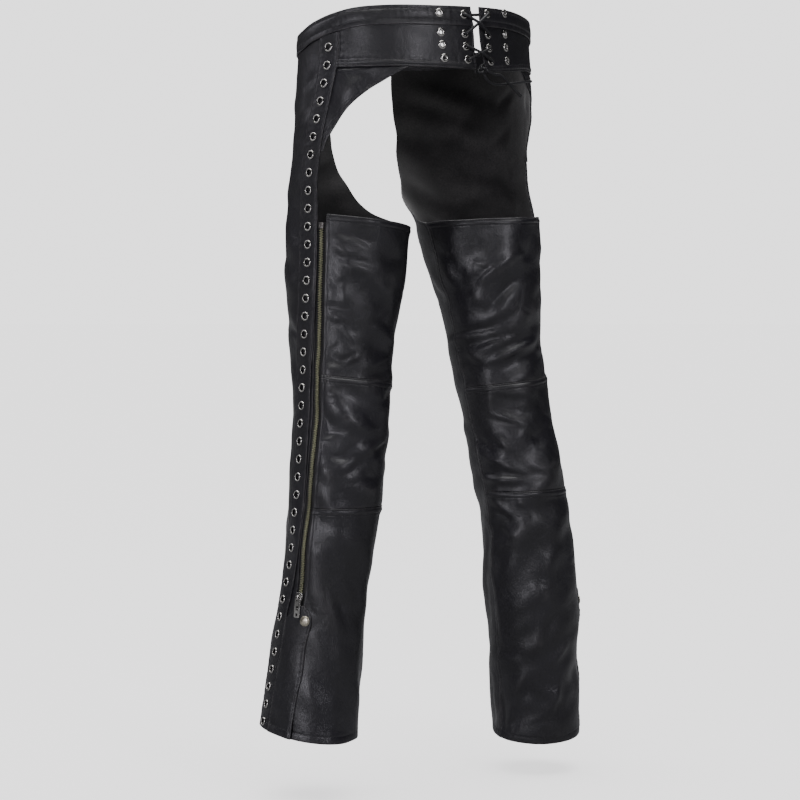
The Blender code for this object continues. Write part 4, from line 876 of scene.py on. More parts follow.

# %% [markdown]
# ## Leather, inside and out
#
# The grain side is near black with a satin shine. Its shine is not even: cloudy patches are drier,
# crests and edges are polished and painted a little lighter and browner, partly as worn leather and
# partly as a painted highlight. The flesh side is matte, dark and fibrous, and the lace is a duller
# leather with a blue cast.


# %% Leather
def hide(name, dark, lighter, rubbed_and_highlighted, roughness, cells, crease, grain_depth, shine):
    """A grained leather: two tones in clouds, worn places with a painted highlight, pebbled grain over soft
    dents.
    """
    material, tree, shader = start_material(name)
    grain = add_node(tree, "ShaderNodeGroup", node_tree=grain_tree, Cells=cells, Crease=crease).outputs
    wear_and_highlight = add_node(tree, "ShaderNodeGroup", node_tree=wear_and_highlight_tree).outputs
    colour = mix_colour(tree, ramp_node(tree, wear_and_highlight["Cloud"], 0.36, 0.66), dark, lighter)
    even = ramp_node(tree, wear_and_highlight["Cloud"], 0.3, 0.7, roughness + 0.07, roughness - 0.06)
    uneven = math_node(tree, "ADD", even, math_node(tree, "MULTIPLY", grain["Pores"], 0.1))
    polish = math_node(tree, "MULTIPLY", wear_and_highlight["Mask"], -0.08)
    dents = noise(tree, Scale=34.0, Detail=5.0, Roughness=0.55, Distortion=0.6)
    soft = bump(tree, dents, 0.0026, 0.68)
    # Worn places take the lighter colour, which is also a painted highlight on edges, welts and crests.
    set_sockets(tree, shader, Base_Color=mix_colour(tree, wear_and_highlight["Mask"], colour, rubbed_and_highlighted),
                Roughness=math_node(tree, "ADD", uneven, polish),
                Normal=bump(tree, grain["Height"], grain_depth, 0.5, Normal=soft),
                Specular_IOR_Level=0.55, Coat_Weight=shine, Coat_Roughness=0.28)
    return material


def flesh_side():
    """The inner side: matte, brushed fibres."""
    material, tree, shader = start_material("flesh side")
    fibres = noise(tree, Scale=420.0, Detail=5.0, Roughness=0.7)
    nap = math_node(tree, "MULTIPLY", fibres, noise(tree, Scale=26.0, Detail=4.0))
    tone = ramp_node(tree, nap, 0.12, 0.42)
    colour = mix_colour(tree, tone, (0.012, 0.0115, 0.0118), (0.03, 0.0285, 0.029))
    set_sockets(tree, shader, Base_Color=colour, Normal=bump(tree, fibres, 0.0004, 0.7),
                Roughness=ramp_node(tree, nap, 0.1, 0.5, 0.88, 0.98),
                Specular_IOR_Level=0.2, Sheen_Weight=0.25, Sheen_Roughness=0.5)
    return material


# The third colour is for worn places, and it is also a painted highlight on edges, welts and crests.
LEATHER_FINISH = hide("leather", (0.0038, 0.0035, 0.0056), (0.0085, 0.0079, 0.0114), (0.046, 0.043, 0.045),
                      0.35, 640.0, 0.35, 0.00016, 0.15)
FLESH_FINISH = flesh_side()
print("leathers:", LEATHER_FINISH.name, "and", FLESH_FINISH.name)

# %% [markdown]
# ## How a panel is made
#
# A cut is a function from the unit square to places on the form: across 0 to 1, down 0 to 1. The grid
# is laid out by real distances, close together at the edges, where the leather is rounded and stitched,
# and about 3 mm apart between. Then the places are lifted along the outward direction: once for the
# inner face, once for the outer one, both with the same folds, so the wall keeps its thickness.

# %% Laying out a grid
EDGE_STATIONS = (0.0, 0.0003, 0.0008, 0.0016)
STITCH_SIDE = 0.0008
BETWEEN_STITCHES = (0.3, 0.5, 0.7)
PAST_STITCHES = 0.0026
# The last field is how much lighter an edge is painted, as wear and as a painted highlight on the ridge.
Seam = namedtuple("Seam", "stitches swell round rub")
RAW = Seam((), 0.0, 0.0005, 0.6)
HIDDEN = Seam((), 0.0, 0.0002, 0.0)
Layout = namedtuple("Layout", "turn height left right top bottom")


def stations_of(seam):
    """Distances from an edge at which the grid has a line."""
    places = set(EDGE_STATIONS)
    for distance in seam.stitches:
        places |= {round(distance - STITCH_SIDE, 5), distance, round(distance + STITCH_SIDE, 5)}
    for one, two in zip(seam.stitches, seam.stitches[1:]):
        places |= {round(one + (two - one) * share, 5) for share in BETWEEN_STITCHES}
    if seam.stitches:
        places.add(round(max(seam.stitches) + PAST_STITCHES, 5))
    return np.array(sorted(places))


def stations(lengths, first, last, step):
    """For each line length, distances close together at both ends and even between."""
    lengths = lengths[:, None]
    fit = np.minimum(1.0, 0.47 * lengths / max(first[-1], last[-1]))
    head, tail = first[None] * fit, lengths - last[::-1][None] * fit
    room = float(lengths.max()) - first[-1] - last[-1]
    count = max(1, round(room / step) - 1)
    share = np.arange(1, count + 1)[None] / (count + 1)
    return np.hstack([head, head[:, -1:] + (tail[:, :1] - head[:, -1:]) * share, tail])


def running(points):
    steps = np.linalg.norm(np.diff(points, axis=1), axis=2)
    return np.hstack([np.zeros((len(points), 1)), np.cumsum(steps, axis=1)])


def lay_out(cut, form, side, seams, step):
    """The places of a fine grid on a cut, and their distances from its four edges."""
    columns, fine_down, fine_across = np.linspace(0, 1, 33), np.linspace(0, 1, 241), np.linspace(0, 1, 121)
    run = running(form(side, *cut(*np.meshgrid(columns, fine_down, indexing="ij"))))
    marks = stations(run[:, -1], stations_of(seams["top"]), stations_of(seams["bottom"]), step)
    down = np.array([np.interp(marks[k], run[k], fine_down) for k in range(len(columns))])
    levels, wide = np.meshgrid(down.mean(axis=0), fine_across, indexing="ij")
    run_across = running(form(side, *cut(wide, levels)))
    left = stations(run_across[:, -1], stations_of(seams["left"]), stations_of(seams["right"]), step)
    u = np.array([np.interp(left[i], run_across[i], fine_across) for i in range(len(left))])
    v, top, bottom = (np.array([np.interp(u[i], columns, table[:, i]) for i in range(len(u))])
                      for table in (down, marks, run[:, -1:] - marks))
    turn, height = cut(u, v)
    return Layout(turn, height, left, run_across[:, -1:] - left, top, bottom)


# %% Stitched edges
STITCH_GROOVE = 0.00052
GROOVE_REACH = 0.0008
PUCKER = 0.00022
PUCKER_PITCH = 0.0085
PUCKER_REACH = 0.006
PUCKER_DRIFT, DRIFT_LENGTH = 2.2, 0.021
SWELL_START, SWELL_FADE = 0.0005, 0.003
SWELL_BETWEEN = 0.7
# How far from an edge, and where beside a stitch line, the colour is painted lighter: wear, and a painted
# highlight on the welt.
EDGE_RUB_AND_HIGHLIGHT_REACH = 0.0018
STITCH_RUB_AND_HIGHLIGHT, STITCH_RUB_AND_HIGHLIGHT_REACH, STITCH_RUB_AND_HIGHLIGHT_PLACE = 0.45, 0.0012, 0.002


def edge_relief(distance, along, seam, dice):
    """The round edge, the swell of a turned edge, the groove of each stitch line and its puckers."""
    inside = np.clip(distance, 0, seam.round)
    relief = np.sqrt(np.maximum(0, seam.round**2 - (seam.round - inside) ** 2)) - seam.round
    if seam.stitches:
        last = max(seam.stitches)
        relief = relief + seam.swell * (1 - ease((distance - last - SWELL_START) / SWELL_FADE))
        for stitch in seam.stitches:
            relief = relief - STITCH_GROOVE * np.exp(-(((distance - stitch) / GROOVE_REACH) ** 2))
        for one, two in zip(seam.stitches, seam.stitches[1:]):
            between = np.clip((distance - one) / (two - one), 0, 1)
            relief = relief + SWELL_BETWEEN * seam.swell * np.sin(np.pi * between)
        phase = dice.uniform(0, 2 * np.pi)
        drift = PUCKER_DRIFT * np.sin(along / DRIFT_LENGTH + phase)
        ripple = np.sin(2 * np.pi * along / PUCKER_PITCH + phase + drift)
        relief = relief + PUCKER * ripple * np.exp(-(((distance - last) / PUCKER_REACH) ** 2))
    return relief


def leather_relief(layout, seams, seed):
    dice = np.random.default_rng(seed)
    relief = np.zeros_like(layout.turn)
    rub = np.zeros_like(layout.turn)
    for edge, distance, along in (("left", layout.left, layout.top), ("right", layout.right, layout.top),
                                  ("top", layout.top, layout.left), ("bottom", layout.bottom, layout.left)):
        relief = relief + edge_relief(distance, along, seams[edge], dice)
        # Edges and the welts beside their stitch lines are painted lighter: wear, and a painted highlight on
        # these ridges.
        rub = np.maximum(rub, seams[edge].rub * np.exp(-((distance / EDGE_RUB_AND_HIGHLIGHT_REACH) ** 2)))
        for stitch in seams[edge].stitches:
            middle = stitch / 2 if stitch == min(seams[edge].stitches) else stitch - STITCH_RUB_AND_HIGHLIGHT_PLACE
            rub = np.maximum(rub, STITCH_RUB_AND_HIGHLIGHT * np.exp(-(((distance - middle) / STITCH_RUB_AND_HIGHLIGHT_REACH) ** 2)))
    return relief, rub


# %% The wall of a panel
Panel = namedtuple("Panel", "item layout outer normal seams")
# Fold crests are painted lighter from this lift on: wear, and a painted highlight on the crest.
CREST_FROM, CREST_SPAN, CREST_RUB_AND_HIGHLIGHT = 0.0012, 0.002, 0.35


def shell_faces(rows, columns, flip):
    """Faces of a closed wall between two grids, and how many of them are on the outer side."""
    grid = np.arange(rows * columns).reshape(rows, columns)
    a, b = grid[:-1, :-1].ravel(), grid[:-1, 1:].ravel()
    c, d = grid[1:, 1:].ravel(), grid[1:, :-1].ravel()
    shift = rows * columns
    outer = np.stack([a, b, c, d], 1)
    inner = np.stack([a, d, c, b], 1) + shift
    sides = []
    for line, ahead in ((grid[:, 0], True), (grid[:, -1], False), (grid[0], False), (grid[-1], True)):
        one, two = (line[:-1], line[1:]) if ahead else (line[1:], line[:-1])
        sides.append(np.stack([one, two, two + shift, one + shift], 1))
    faces = np.vstack([outer, inner, *sides])
    return (faces[:, ::-1] if flip else faces), len(outer)


def mesh_object(name, points, faces):
    mesh = bpy.data.meshes.new(name)
    faces = faces.tolist() if isinstance(faces, np.ndarray) else faces
    mesh.from_pydata(np.asarray(points).tolist(), [], faces)
    mesh.shade_smooth()
    return new_object(name, mesh)


def closed_object(name, points, faces):
    """An object from a closed mesh, all of its faces turned outwards."""
    item = mesh_object(name, points, faces)
    shape = bmesh.new()
    shape.from_mesh(item.data)
    bmesh.ops.recalc_face_normals(shape, faces=shape.faces)
    shape.to_mesh(item.data)
    shape.free()
    return item


def between_rings(order, sides, shift=0):
    """Faces between rings of points, ring after ring; the step back to the first one may be shifted."""
    faces = []
    for here, there in zip(order, order[1:]):
        turn_on = shift if there < here else 0
        for k in range(sides):
            one, two = (k + turn_on) % sides, (k + turn_on + 1) % sides
            faces.append((here * sides + one, here * sides + two,
                          there * sides + (k + 1) % sides, there * sides + k))
    return faces


def lifts_of(low, high):
    return lambda layout: (low, high)


# Columns: seed of the left piece's edges, size of its mesh cells in metres.
MESHING = {
    "front_panel": (100, 0.0036), "back": (200, 0.0032), "side_strip": (300, 0.0026),
    "vent_flap": (320, 0.0028), "yoke": (400, 0.0026), "hip_panel": (420, 0.0026),
    "belt": (440, 0.0024), "zip_tape": (500, 0.0042),
}


def leather_piece(name, side, form, cut, lifts, seams, kind, fold_share=1.0, finishes=None, slope=None):
    """A leather shell with folds, round edges, stitched seams and an attribute for wear and painted
    highlights.
    """
    seed, step = MESHING[kind]
    seed += SIDES.index(side)
    layout = lay_out(cut, form, side, seams, step)
    base = form(side, layout.turn, layout.height)
    normal = outward(form, side, layout.turn, layout.height)
    low, high = lifts(layout)
    share = fold_share(layout) if callable(fold_share) else fold_share
    fold = worn(side, leg_place(side, base), layout.height) * share
    relief, rub = leather_relief(layout, seams, seed)
    if slope is not None:
        relief = relief + slope(layout)
    outer = base + normal * (high + fold + relief)[..., None]
    inner = base + normal * (low + fold)[..., None]
    rows, columns = layout.turn.shape
    first = np.cross(outer[1, 0] - outer[0, 0], outer[0, 1] - outer[0, 0]) @ normal[0, 0]
    faces, outer_count = shell_faces(rows, columns, flip=first > 0)
    item = mesh_object(name, np.vstack([outer.reshape(-1, 3), inner.reshape(-1, 3)]), faces)
    for finish in finishes or (LEATHER_FINISH, FLESH_FINISH):
        item.data.materials.append(finish)
    slots = np.zeros(len(faces), np.int32)
    slots[outer_count:2 * outer_count] = 1
    item.data.polygons.foreach_set("material_index", slots)
    # The crests of the folds are painted lighter too: wear, and a painted highlight where they stand out.
    crest = np.clip((fold - CREST_FROM) / CREST_SPAN, 0, 1) * CREST_RUB_AND_HIGHLIGHT
    values = np.concatenate([np.maximum(rub, crest).ravel(), np.zeros(rows * columns)])
    item.data.attributes.new("rub", "FLOAT", "POINT").data.foreach_set("value", values.astype(np.float32))
    slope_down, slope_across = np.gradient(outer, axis=0), np.gradient(outer, axis=1)
    tilted = unit(np.cross(slope_down, slope_across))
    tilted *= np.sign((tilted * normal).sum(-1, keepdims=True))
    print(f"{name}: {rows} x {columns} points, {len(faces) * 2} triangles")
    return Panel(item, layout, outer, tilted, seams)

# %% [markdown]
# ## The panels
#
# Each panel names its cut, the way its four edges are finished and where its stitches run. Edges that
# show are turned under and stitched; an edge under another piece is left plain. At each cross seam of
# the back the lower piece laps over the upper one, so it has two lines of thread and a swollen edge.

# %% Edge finishes
ZIP_EDGE = Seam((0.004,), 0.00045, 0.0006, 0.8)
INSEAM = Seam((0.0026,), 0.0005, 0.0006, 0.7)
BAY_EDGE = Seam((0.004,), 0.00055, 0.0006, 0.8)
SEAT_EDGE = Seam((0.005,), 0.00055, 0.0006, 0.8)
HEM = Seam((0.01,), 0.0003, 0.0006, 0.7)
CROSS = Seam((0.002, 0.0086), 0.00085, 0.0007, 0.6)
TOP_HEM = Seam((0.0026, 0.0086), 0.00065, 0.0007, 0.6)
OPENING_EDGE = Seam((0.0035,), 0.0003, 0.0006, 0.7)
STRIP_EDGE = Seam((0.0022,), 0.00012, 0.0005, 0.9)
LAP_EDGE = Seam((0.003,), 0.0003, 0.0006, 0.9)
BELT_HEAD = Seam((0.005,), 0.0, 0.0006, 0.9)
BELT_FOOT = Seam((0.007,), 0.0, 0.0006, 0.9)
BELT_END = Seam((0.004,), 0.0, 0.0006, 0.7)


def edges(left, right, top, bottom):
    return {"left": left, "right": right, "top": top, "bottom": bottom}


def unfolded(panel, base):
    """Width, length and area of a panel laid flat."""
    wide = float((panel.layout.left + panel.layout.right).max())
    long = float((panel.layout.top + panel.layout.bottom).max())
    one = base[1:, 1:] - base[:-1, :-1]
    two = base[1:, :-1] - base[:-1, 1:]
    area = float(np.linalg.norm(np.cross(one, two), axis=-1).sum() / 2)
    area = float(np.clip(area, 0.31 * wide * long, 0.99 * wide * long))
    return (round(wide, 4), round(long, 4)), round(area, 5)


def finish_leather(panel, side, form, nodes):
    base = form(side, panel.layout.turn, panel.layout.height)
    flat, area = unfolded(panel, base)
    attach(panel.item, "chaps")
    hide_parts(*nodes)
    print(f"   flat {flat[0]:.3f} x {flat[1]:.3f} m, area {area:.4f} m2")


# %% [markdown]
# ## Front panel of each leg
#
# The front is one piece of hide from belt to hem. Its grid could be cut from a plain tube, but then the
# open bay at the top would have a stepped edge. Here the rows run round the bay and straighten below
# the crotch, so the edge is clean and can be stitched.

# %% Front panel of each leg
CROTCH_ROW, LAST_ROW, STRAIGHTEN_ROWS = 9, 27, 8
ROW_MARKS = ((0, 7, LAST_ROW), (-0.05, CROTCH, -0.925))
STRIP_PART = 0.22


def front_cut(side):
    def cut(u, v):
        row = -1 + v * (LAST_ROW + 2)
        level = np.interp(row, *ROW_MARKS)
        level = level + (HEM_LEVEL - ROW_MARKS[1][-1]) * np.clip(row - LAST_ROW, 0, 1)
        rear = zip_angle(side, level, -ZIP_OPENING / 2)
        fore = strip_angle(side, level, -STRIP_WIDTH / 2)
        rear = np.where(level > ZIP_TOP, np.minimum(rear, strip_angle(side, level, STRIP_WIDTH / 2)), rear)
        bay_angle, bay_height = read_curve(FRONT_BAY, np.clip(row / CROTCH_ROW, 0, 1))
        settle = 1 - ease((row - CROTCH_ROW) / STRAIGHTEN_ROWS)
        crotch_drop = CROTCH - np.interp(CROTCH_ROW, *ROW_MARKS)
        edge = np.where(row <= CROTCH_ROW, np.radians(bay_angle), math.radians(INSEAM_ANGLE - 360))
        edge_height = np.where(row <= CROTCH_ROW, bay_height, level + crotch_drop * settle)
        share = np.clip((u - STRIP_PART) / (1 - STRIP_PART), 0, 1)
        turn = rear + (fore - rear) * np.clip(u / STRIP_PART, 0, 1) + (edge - fore) * share
        height = level + (edge_height - level) * share**2
        top = belt_edge_height(side, turn) + BELT_TUCK
        height = np.where(row < 0, top + (height - top) * (row + 1), height)
        hem_share = np.clip(row - LAST_ROW, 0, 1)
        return turn, height + (hem_height(side, turn) - height) * hem_share

    return cut


seams_front = edges(RAW, BAY_EDGE, HIDDEN, HEM)
front_panels = {}
for side in SIDES:
    front_panels[side] = leather_piece(f"front_panel_{side}", side, leg_form, front_cut(side),
                                       lifts_of(0.0, LEATHER), seams_front, "front_panel")
    finish_leather(front_panels[side], side, leg_form,
                   [f"front_leg_{length}_{side}" for length in ("upper", "middle", "lower")])

# %% [markdown]
# ## Back of each leg
#
# Thigh, knee and calf are three pieces joined by cross seams, so that flat hide follows a bent leg. One
# shell with painted lines would lack the laps. Here each piece is a shell of its own, from the zip to
# the inseam, and it swells at the top, where it laps over the piece above.

# %% Back of each leg
INSEAM_LAP = 0.0008


def back_cut(side, upper, lower):
    def cut(u, v):
        first = math.radians(ZIP_SIDE_ANGLE)
        level = upper(first) + (lower(first) - upper(first)) * v
        edge = zip_angle(side, level, ZIP_OPENING / 2)
        inseam = math.radians(INSEAM_ANGLE) + INSEAM_LAP / INSEAM_RADIUS
        turn = edge + (inseam - edge) * u
        return turn, upper(turn) + (lower(turn) - upper(turn)) * v

    return cut


def seam_of(zip_height, inseam_height, gap=0.0):
    return lambda angle: seam_height(angle, zip_height, inseam_height) + gap


panels = {}
for side in SIDES:
    cross = CROSS_SEAMS[side]
    thigh_top = seam_of(cross.thigh_zip, cross.thigh_inseam)
    knee_top = seam_of(cross.knee_zip, cross.knee_inseam)
    calf_top = seam_of(cross.calf_zip, cross.calf_inseam)
    rows = (
        ("back_thigh", thigh_top, seam_of(cross.knee_zip, cross.knee_inseam, SEAM_GAP), TOP_HEM, RAW),
        ("back_knee", knee_top, seam_of(cross.calf_zip, cross.calf_inseam, SEAM_GAP), CROSS, RAW),
        ("back_calf", calf_top, lambda angle, side=side: hem_height(side, angle), CROSS, HEM),
    )
    for name, upper, lower, head, foot in rows:
        panels[name, side] = leather_piece(
            f"{name}_{side}_leather", side, leg_form, back_cut(side, upper, lower), lifts_of(0.0, LEATHER),
            edges(ZIP_EDGE, INSEAM, head, foot), "back")
        finish_leather(panels[name, side], side, leg_form, [f"{name}_{side}"])

# %% [markdown]
# ## Side strip and flap
#
# A narrow strip is sewn over the front panel and carries the row of eyelets. Below the zip a flap laps
# over the calf, held by one press stud. Both lie one thickness higher than the panels below. The flap's
# free edge is pared thin, and near the hem it stands off a little, as a loose corner does.

# %% Strip down the side and flap below the zip
FLAP_TOP = -0.777
FLAP_SHOULDER = -0.79
FLAP_CORNER = 0.002
FLAP_SLOPE = 0.6
SHOULDER_FROM, SHOULDER_SPAN, SHOULDER_END = 0.002, 0.008, 0.006
SKIVED_BY, SKIVED_REACH = 0.0008, 0.0022


def strip_cut(side):
    def cut(u, v):
        level = WAIST_LEVEL + (HEM_LEVEL - WAIST_LEVEL) * v
        turn = strip_angle(side, level, STRIP_WIDTH * (0.5 - u))
        top = belt_edge_height(side, turn) - STRIP_TOP_GAP
        first, last = ROW_MARKS[1][0], ROW_MARKS[1][-1]
        head = np.clip((first - level) / (first - WAIST_LEVEL), 0, 1)
        foot = np.clip((last - level) / (last - HEM_LEVEL), 0, 1)
        height = level + (top - level) * np.abs(head)
        return turn, height + (hem_height(side, turn) - height) * foot

    return cut


def flap_cut(side):
    def cut(u, v):
        level = FLAP_TOP + (HEM_LEVEL - FLAP_TOP) * v
        last = ROW_MARKS[1][-1]
        plain = strip_angle(side, level, STRIP_WIDTH / 2 + SEAM_GAP)
        slanted = zip_angle(side, level, -FLAP_CORNER - FLAP_SLOPE * np.maximum(FLAP_TOP - level, 0))
        share = ease((FLAP_SHOULDER + SHOULDER_FROM - level) / SHOULDER_SPAN)
        start = np.where(level > FLAP_SHOULDER - SHOULDER_END, slanted + (plain - slanted) * share, plain)
        end = np.radians(read_curve(LAP_LINE, level)[0])
        turn = start + (end - start) * u
        foot = np.clip((last - level) / (last - HEM_LEVEL), 0, 1)
        return turn, level + (hem_height(side, turn) - level) * foot

    return cut


def skived(layout):
    """The lap edge is pared thin, so that it lies close."""
    return -SKIVED_BY * np.exp(-((layout.right / SKIVED_REACH) ** 2))


FLAP_STAND = {"left": 0.0028, "right": 0.0008}
STAND_ACROSS, STAND_UP = 0.01, 0.05


def gaping(side):
    """Near the hem the flap's free edge stands off a little."""
    def lifts(layout):
        near_edge = np.exp(-((layout.right / STAND_ACROSS) ** 2))
        stand = FLAP_STAND[side] * near_edge * (1 - ease(layout.bottom / STAND_UP))
        return FLAP_LIFT + stand, FLAP_LIFT + stand + LEATHER

    return lifts


for side in SIDES:
    panels["side_strip", side] = leather_piece(
        f"side_strip_{side}_leather", side, leg_form, strip_cut(side),
        lifts_of(OVERLAY, OVERLAY + STRIP_THICKNESS), edges(STRIP_EDGE, STRIP_EDGE, HIDDEN, HEM),
        "side_strip")
    panels["vent_flap", side] = leather_piece(
        f"vent_flap_{side}_leather", side, leg_form, flap_cut(side), gaping(side),
        edges(RAW, LAP_EDGE, LAP_EDGE, HEM), "vent_flap", slope=skived)
    finish_leather(panels["vent_flap", side], side, leg_form, [f"vent_flap_{side}"])

# %% [markdown]
# ## Yoke and hip panel
#
# The yoke is the band below the belt, from the strip to the lacing. The hip panel under it is cut away
# in a curve and leaves the seat open. The yoke follows the form of the waist, the hip panel that of the
# leg, and its upper edge goes in behind the yoke, where a maker sews it.

# %% Yoke and hip panel
# Near the lacing the folds die out, so that eyelets and lace lie on the plain form.
LACING_CALM, LACING_FADE = 0.052, 0.03


def back_share(side, form):
    def share(layout):
        points = form(side, layout.turn, layout.height)
        from_middle = np.where(points[..., 1] > 0, np.abs(points[..., 0]), 1.0)
        return ease((from_middle - LACING_CALM) / LACING_FADE)

    return share


UNDER_STRIP = 0.0015
HIP_TUCK, TUCK_SLOPE = 0.004, 0.006


def yoke_cut(side):
    def start(height):
        return turn_of(side, strip_angle(side, height, STRIP_WIDTH / 2 - UNDER_STRIP), height)

    def cut(u, v):
        turn = start(YOKE_MIDDLE) + (opening_turn(side, YOKE_MIDDLE) - start(YOKE_MIDDLE)) * u
        top = belt_top(side, turn) - BELT_WIDTH + BELT_TUCK
        height = top + (yoke_hem(side, turn) - top) * v
        return start(height) + (opening_turn(side, height) - start(height)) * u, height

    return cut


def hip_cut(side):
    hem = YOKES[side].hem

    def cut(u, v):
        height = hem + (HIP_PANEL_TIP - hem) * v
        for _ in range(4):
            start = strip_angle(side, height, STRIP_WIDTH / 2 - UNDER_STRIP)
            end = np.radians(read_curve(SEAT_LINE, height)[0])
            turn = start + (end - start) * u
            top = yoke_hem(side, turn_of(side, turn, height)) + HIP_TUCK
            height = top + (HIP_PANEL_TIP - top) * v
        return turn, height

    return cut


def tucked(layout):
    """The hip panel's upper edge goes in behind the yoke."""
    behind = (LEATHER + SEAM_GAP) * (1 - ease((layout.top - HIP_TUCK) / TUCK_SLOPE))
    return -behind, LEATHER - behind


for side in SIDES:
    panels["yoke", side] = leather_piece(
        f"yoke_{side}_leather", side, waist_form, yoke_cut(side), lifts_of(0.0, LEATHER),
        edges(INSEAM, OPENING_EDGE, HIDDEN, TOP_HEM), "yoke",
        fold_share=back_share(side, waist_form))
    panels["hip_panel", side] = leather_piece(
        f"hip_panel_{side}_leather", side, leg_form, hip_cut(side), tucked,
        edges(RAW, SEAT_EDGE, RAW, RAW), "hip_panel", fold_share=back_share(side, leg_form))
    finish_leather(panels["hip_panel", side], side, leg_form, [f"hip_panel_{side}"])

# %% [markdown]
# ## Belt
#
# A belt is two layers of hide with padding between them. Its halves end at the lacing. In front the
# right half passes over the left one, through the buckle, and ends in a tongue, so its lift changes
# along its length.

# %% Belt
FRONT_TURN = -math.pi / 2
FRONT_REACH = 0.175
LEFT_END_GAP = 0.0016
BELT_TIP = 0.08
TIP_BLUNTNESS = 0.12
BUCKLE_BAR = 0.0012
BELT_FOLDS = 0.7
BUCKLE_CALM, BUCKLE_FADE = -0.065, -0.05
PAD_INSET, PAD_MARGINS, PAD_HEIGHT, PAD_FULLNESS = 0.005, 0.012, 0.0005, 0.7
RISE_START, RISE_END = -0.034, -0.006
FALL_START, FALL_END = 0.004, 0.016


def belt_line(side, turn):
    """The belt's upper edge; past the front the right half follows the left one."""
    return np.where(turn < FRONT_TURN, belt_top("left", 2 * FRONT_TURN - turn), belt_top(side, turn))


def past_front(turn):
    return (FRONT_TURN - turn) * FRONT_REACH


def belt_rise(past):
    """How far the right half stands off, over the buckle's bar and down on the left half."""
    over_bar = 2 * (BUCKLE_BAR + SEAM_GAP)
    on_belt = BELT_THICKNESS + SEAM_GAP
    rising = SEAM_GAP + over_bar * ease((past - RISE_START) / (RISE_END - RISE_START))
    settled = ease((past - FALL_START) / (FALL_END - FALL_START))
    return np.where(past < RISE_END, rising, on_belt + (SEAM_GAP + over_bar - on_belt) * (1 - settled))


def tip_narrowing(past):
    into = np.clip((past - (BELT_TIP - BELT_WIDTH / 2)) / (BELT_WIDTH / 2), 0, 1)
    return 1 - np.sqrt(np.maximum(TIP_BLUNTNESS, 1 - into**2))


def belt_cut(side):
    back_end = opening_turn(side, 0.0)
    end = FRONT_TURN - (-LEFT_END_GAP if side == "left" else BELT_TIP) / FRONT_REACH

    def cut(u, v):
        turn = back_end + (end - back_end) * u
        narrow = tip_narrowing(past_front(turn)) if side == "right" else 0.0
        height = belt_line(side, turn) - BELT_WIDTH * (v + (0.5 - v) * narrow)
        lean = opening_turn(side, height) - back_end
        return turn + lean * ease((turn - FRONT_TURN) / (back_end - FRONT_TURN)), height

    return cut


def belt_lifts(side):
    def lifts(layout):
        low = OVERLAY + (belt_rise(past_front(layout.turn)) if side == "right" else 0.0)
        return low, low + BELT_THICKNESS

    return lifts


def belt_share(side):
    """The belt follows the folds a little, not at the lacing and not at the buckle."""
    back = back_share(side, waist_form)
    return lambda layout: BELT_FOLDS * back(layout) * ease(
        (past_front(layout.turn) - BUCKLE_CALM) / BUCKLE_FADE)


def belt_ridge(layout):
    """The strap is padded between its two stitch lines."""
    across = (layout.top - PAD_INSET) / np.maximum(layout.top + layout.bottom - PAD_MARGINS, 1e-4)
    return PAD_HEIGHT * np.sin(np.pi * np.clip(across, 0, 1)) ** PAD_FULLNESS


for side in SIDES:
    panels["belt", side] = leather_piece(
        f"belt_{side}_leather", side, waist_form, belt_cut(side), belt_lifts(side),
        edges(BELT_END, BELT_END, BELT_HEAD, BELT_FOOT), "belt",
        fold_share=belt_share(side), finishes=(LEATHER_FINISH, LEATHER_FINISH), slope=belt_ridge)

# %% [markdown]
# ## Metal, tape, lace and thread
#
# The eyelets, the slider and the buckle are nickel gone grey, with patches of dark tarnish. The box at
# the zip's upper end is duller. The zip's teeth are old brass and its tape is a black twill. The lace is a
# soft round thong. Thread is black; the bar tacks at the knee are given a lighter grey.


# %% Small finishes
def aged_metal(name, bright, dull, roughness, tarnish):
    """Metal with cloudy tarnish and fine scratches."""
    material, tree, shader = start_material(name)
    clouds = noise(tree, Scale=520.0, Detail=5.0, Roughness=0.6)
    scratches = noise(tree, Scale=1900.0, Detail=3.0, Distortion=1.2)
    mask = ramp_node(tree, clouds, tarnish, tarnish + 0.24)
    set_sockets(tree, shader, Base_Color=mix_colour(tree, mask, bright, dull), Metallic=1.0,
                Roughness=ramp_node(tree, mask, 0.0, 1.0, roughness, roughness + 0.24),
                Normal=bump(tree, scratches, 0.00006, 0.5))
    return material


def twill_tape():
    """A woven band: slanted ribs across the tape's own width and length, in metres."""
    material, tree, shader = start_material("zip tape")
    flat = add_node(tree, "ShaderNodeUVMap", uv_map="cut").outputs["UV"]
    ribs = add_node(tree, "ShaderNodeTexWave", wave_type="BANDS", bands_direction="DIAGONAL", Vector=flat,
                    Scale=420.0, Distortion=0.4, Detail=1.0, Detail_Scale=3.0)
    cross = add_node(tree, "ShaderNodeTexWave", wave_type="BANDS", bands_direction="X", Vector=flat,
                     Scale=700.0)
    weave = math_node(tree, "MULTIPLY", ribs.outputs["Fac"], cross.outputs["Fac"])
    colour = mix_colour(tree, weave, (0.006, 0.006, 0.007), (0.022, 0.021, 0.022))
    set_sockets(tree, shader, Base_Color=colour, Normal=bump(tree, weave, 0.0003, 0.8), Roughness=0.85,
                Sheen_Weight=0.2)
    return material


def waxed_thread(name, dark, light):
    """Thick thread whose twist catches the light."""
    material, tree, shader = start_material(name)
    twist = noise(tree, Scale=1500.0, Detail=2.0)
    set_sockets(tree, shader, Base_Color=mix_colour(tree, twist, dark, light), Roughness=0.42,
                Normal=bump(tree, twist, 0.0001, 0.6))
    return material


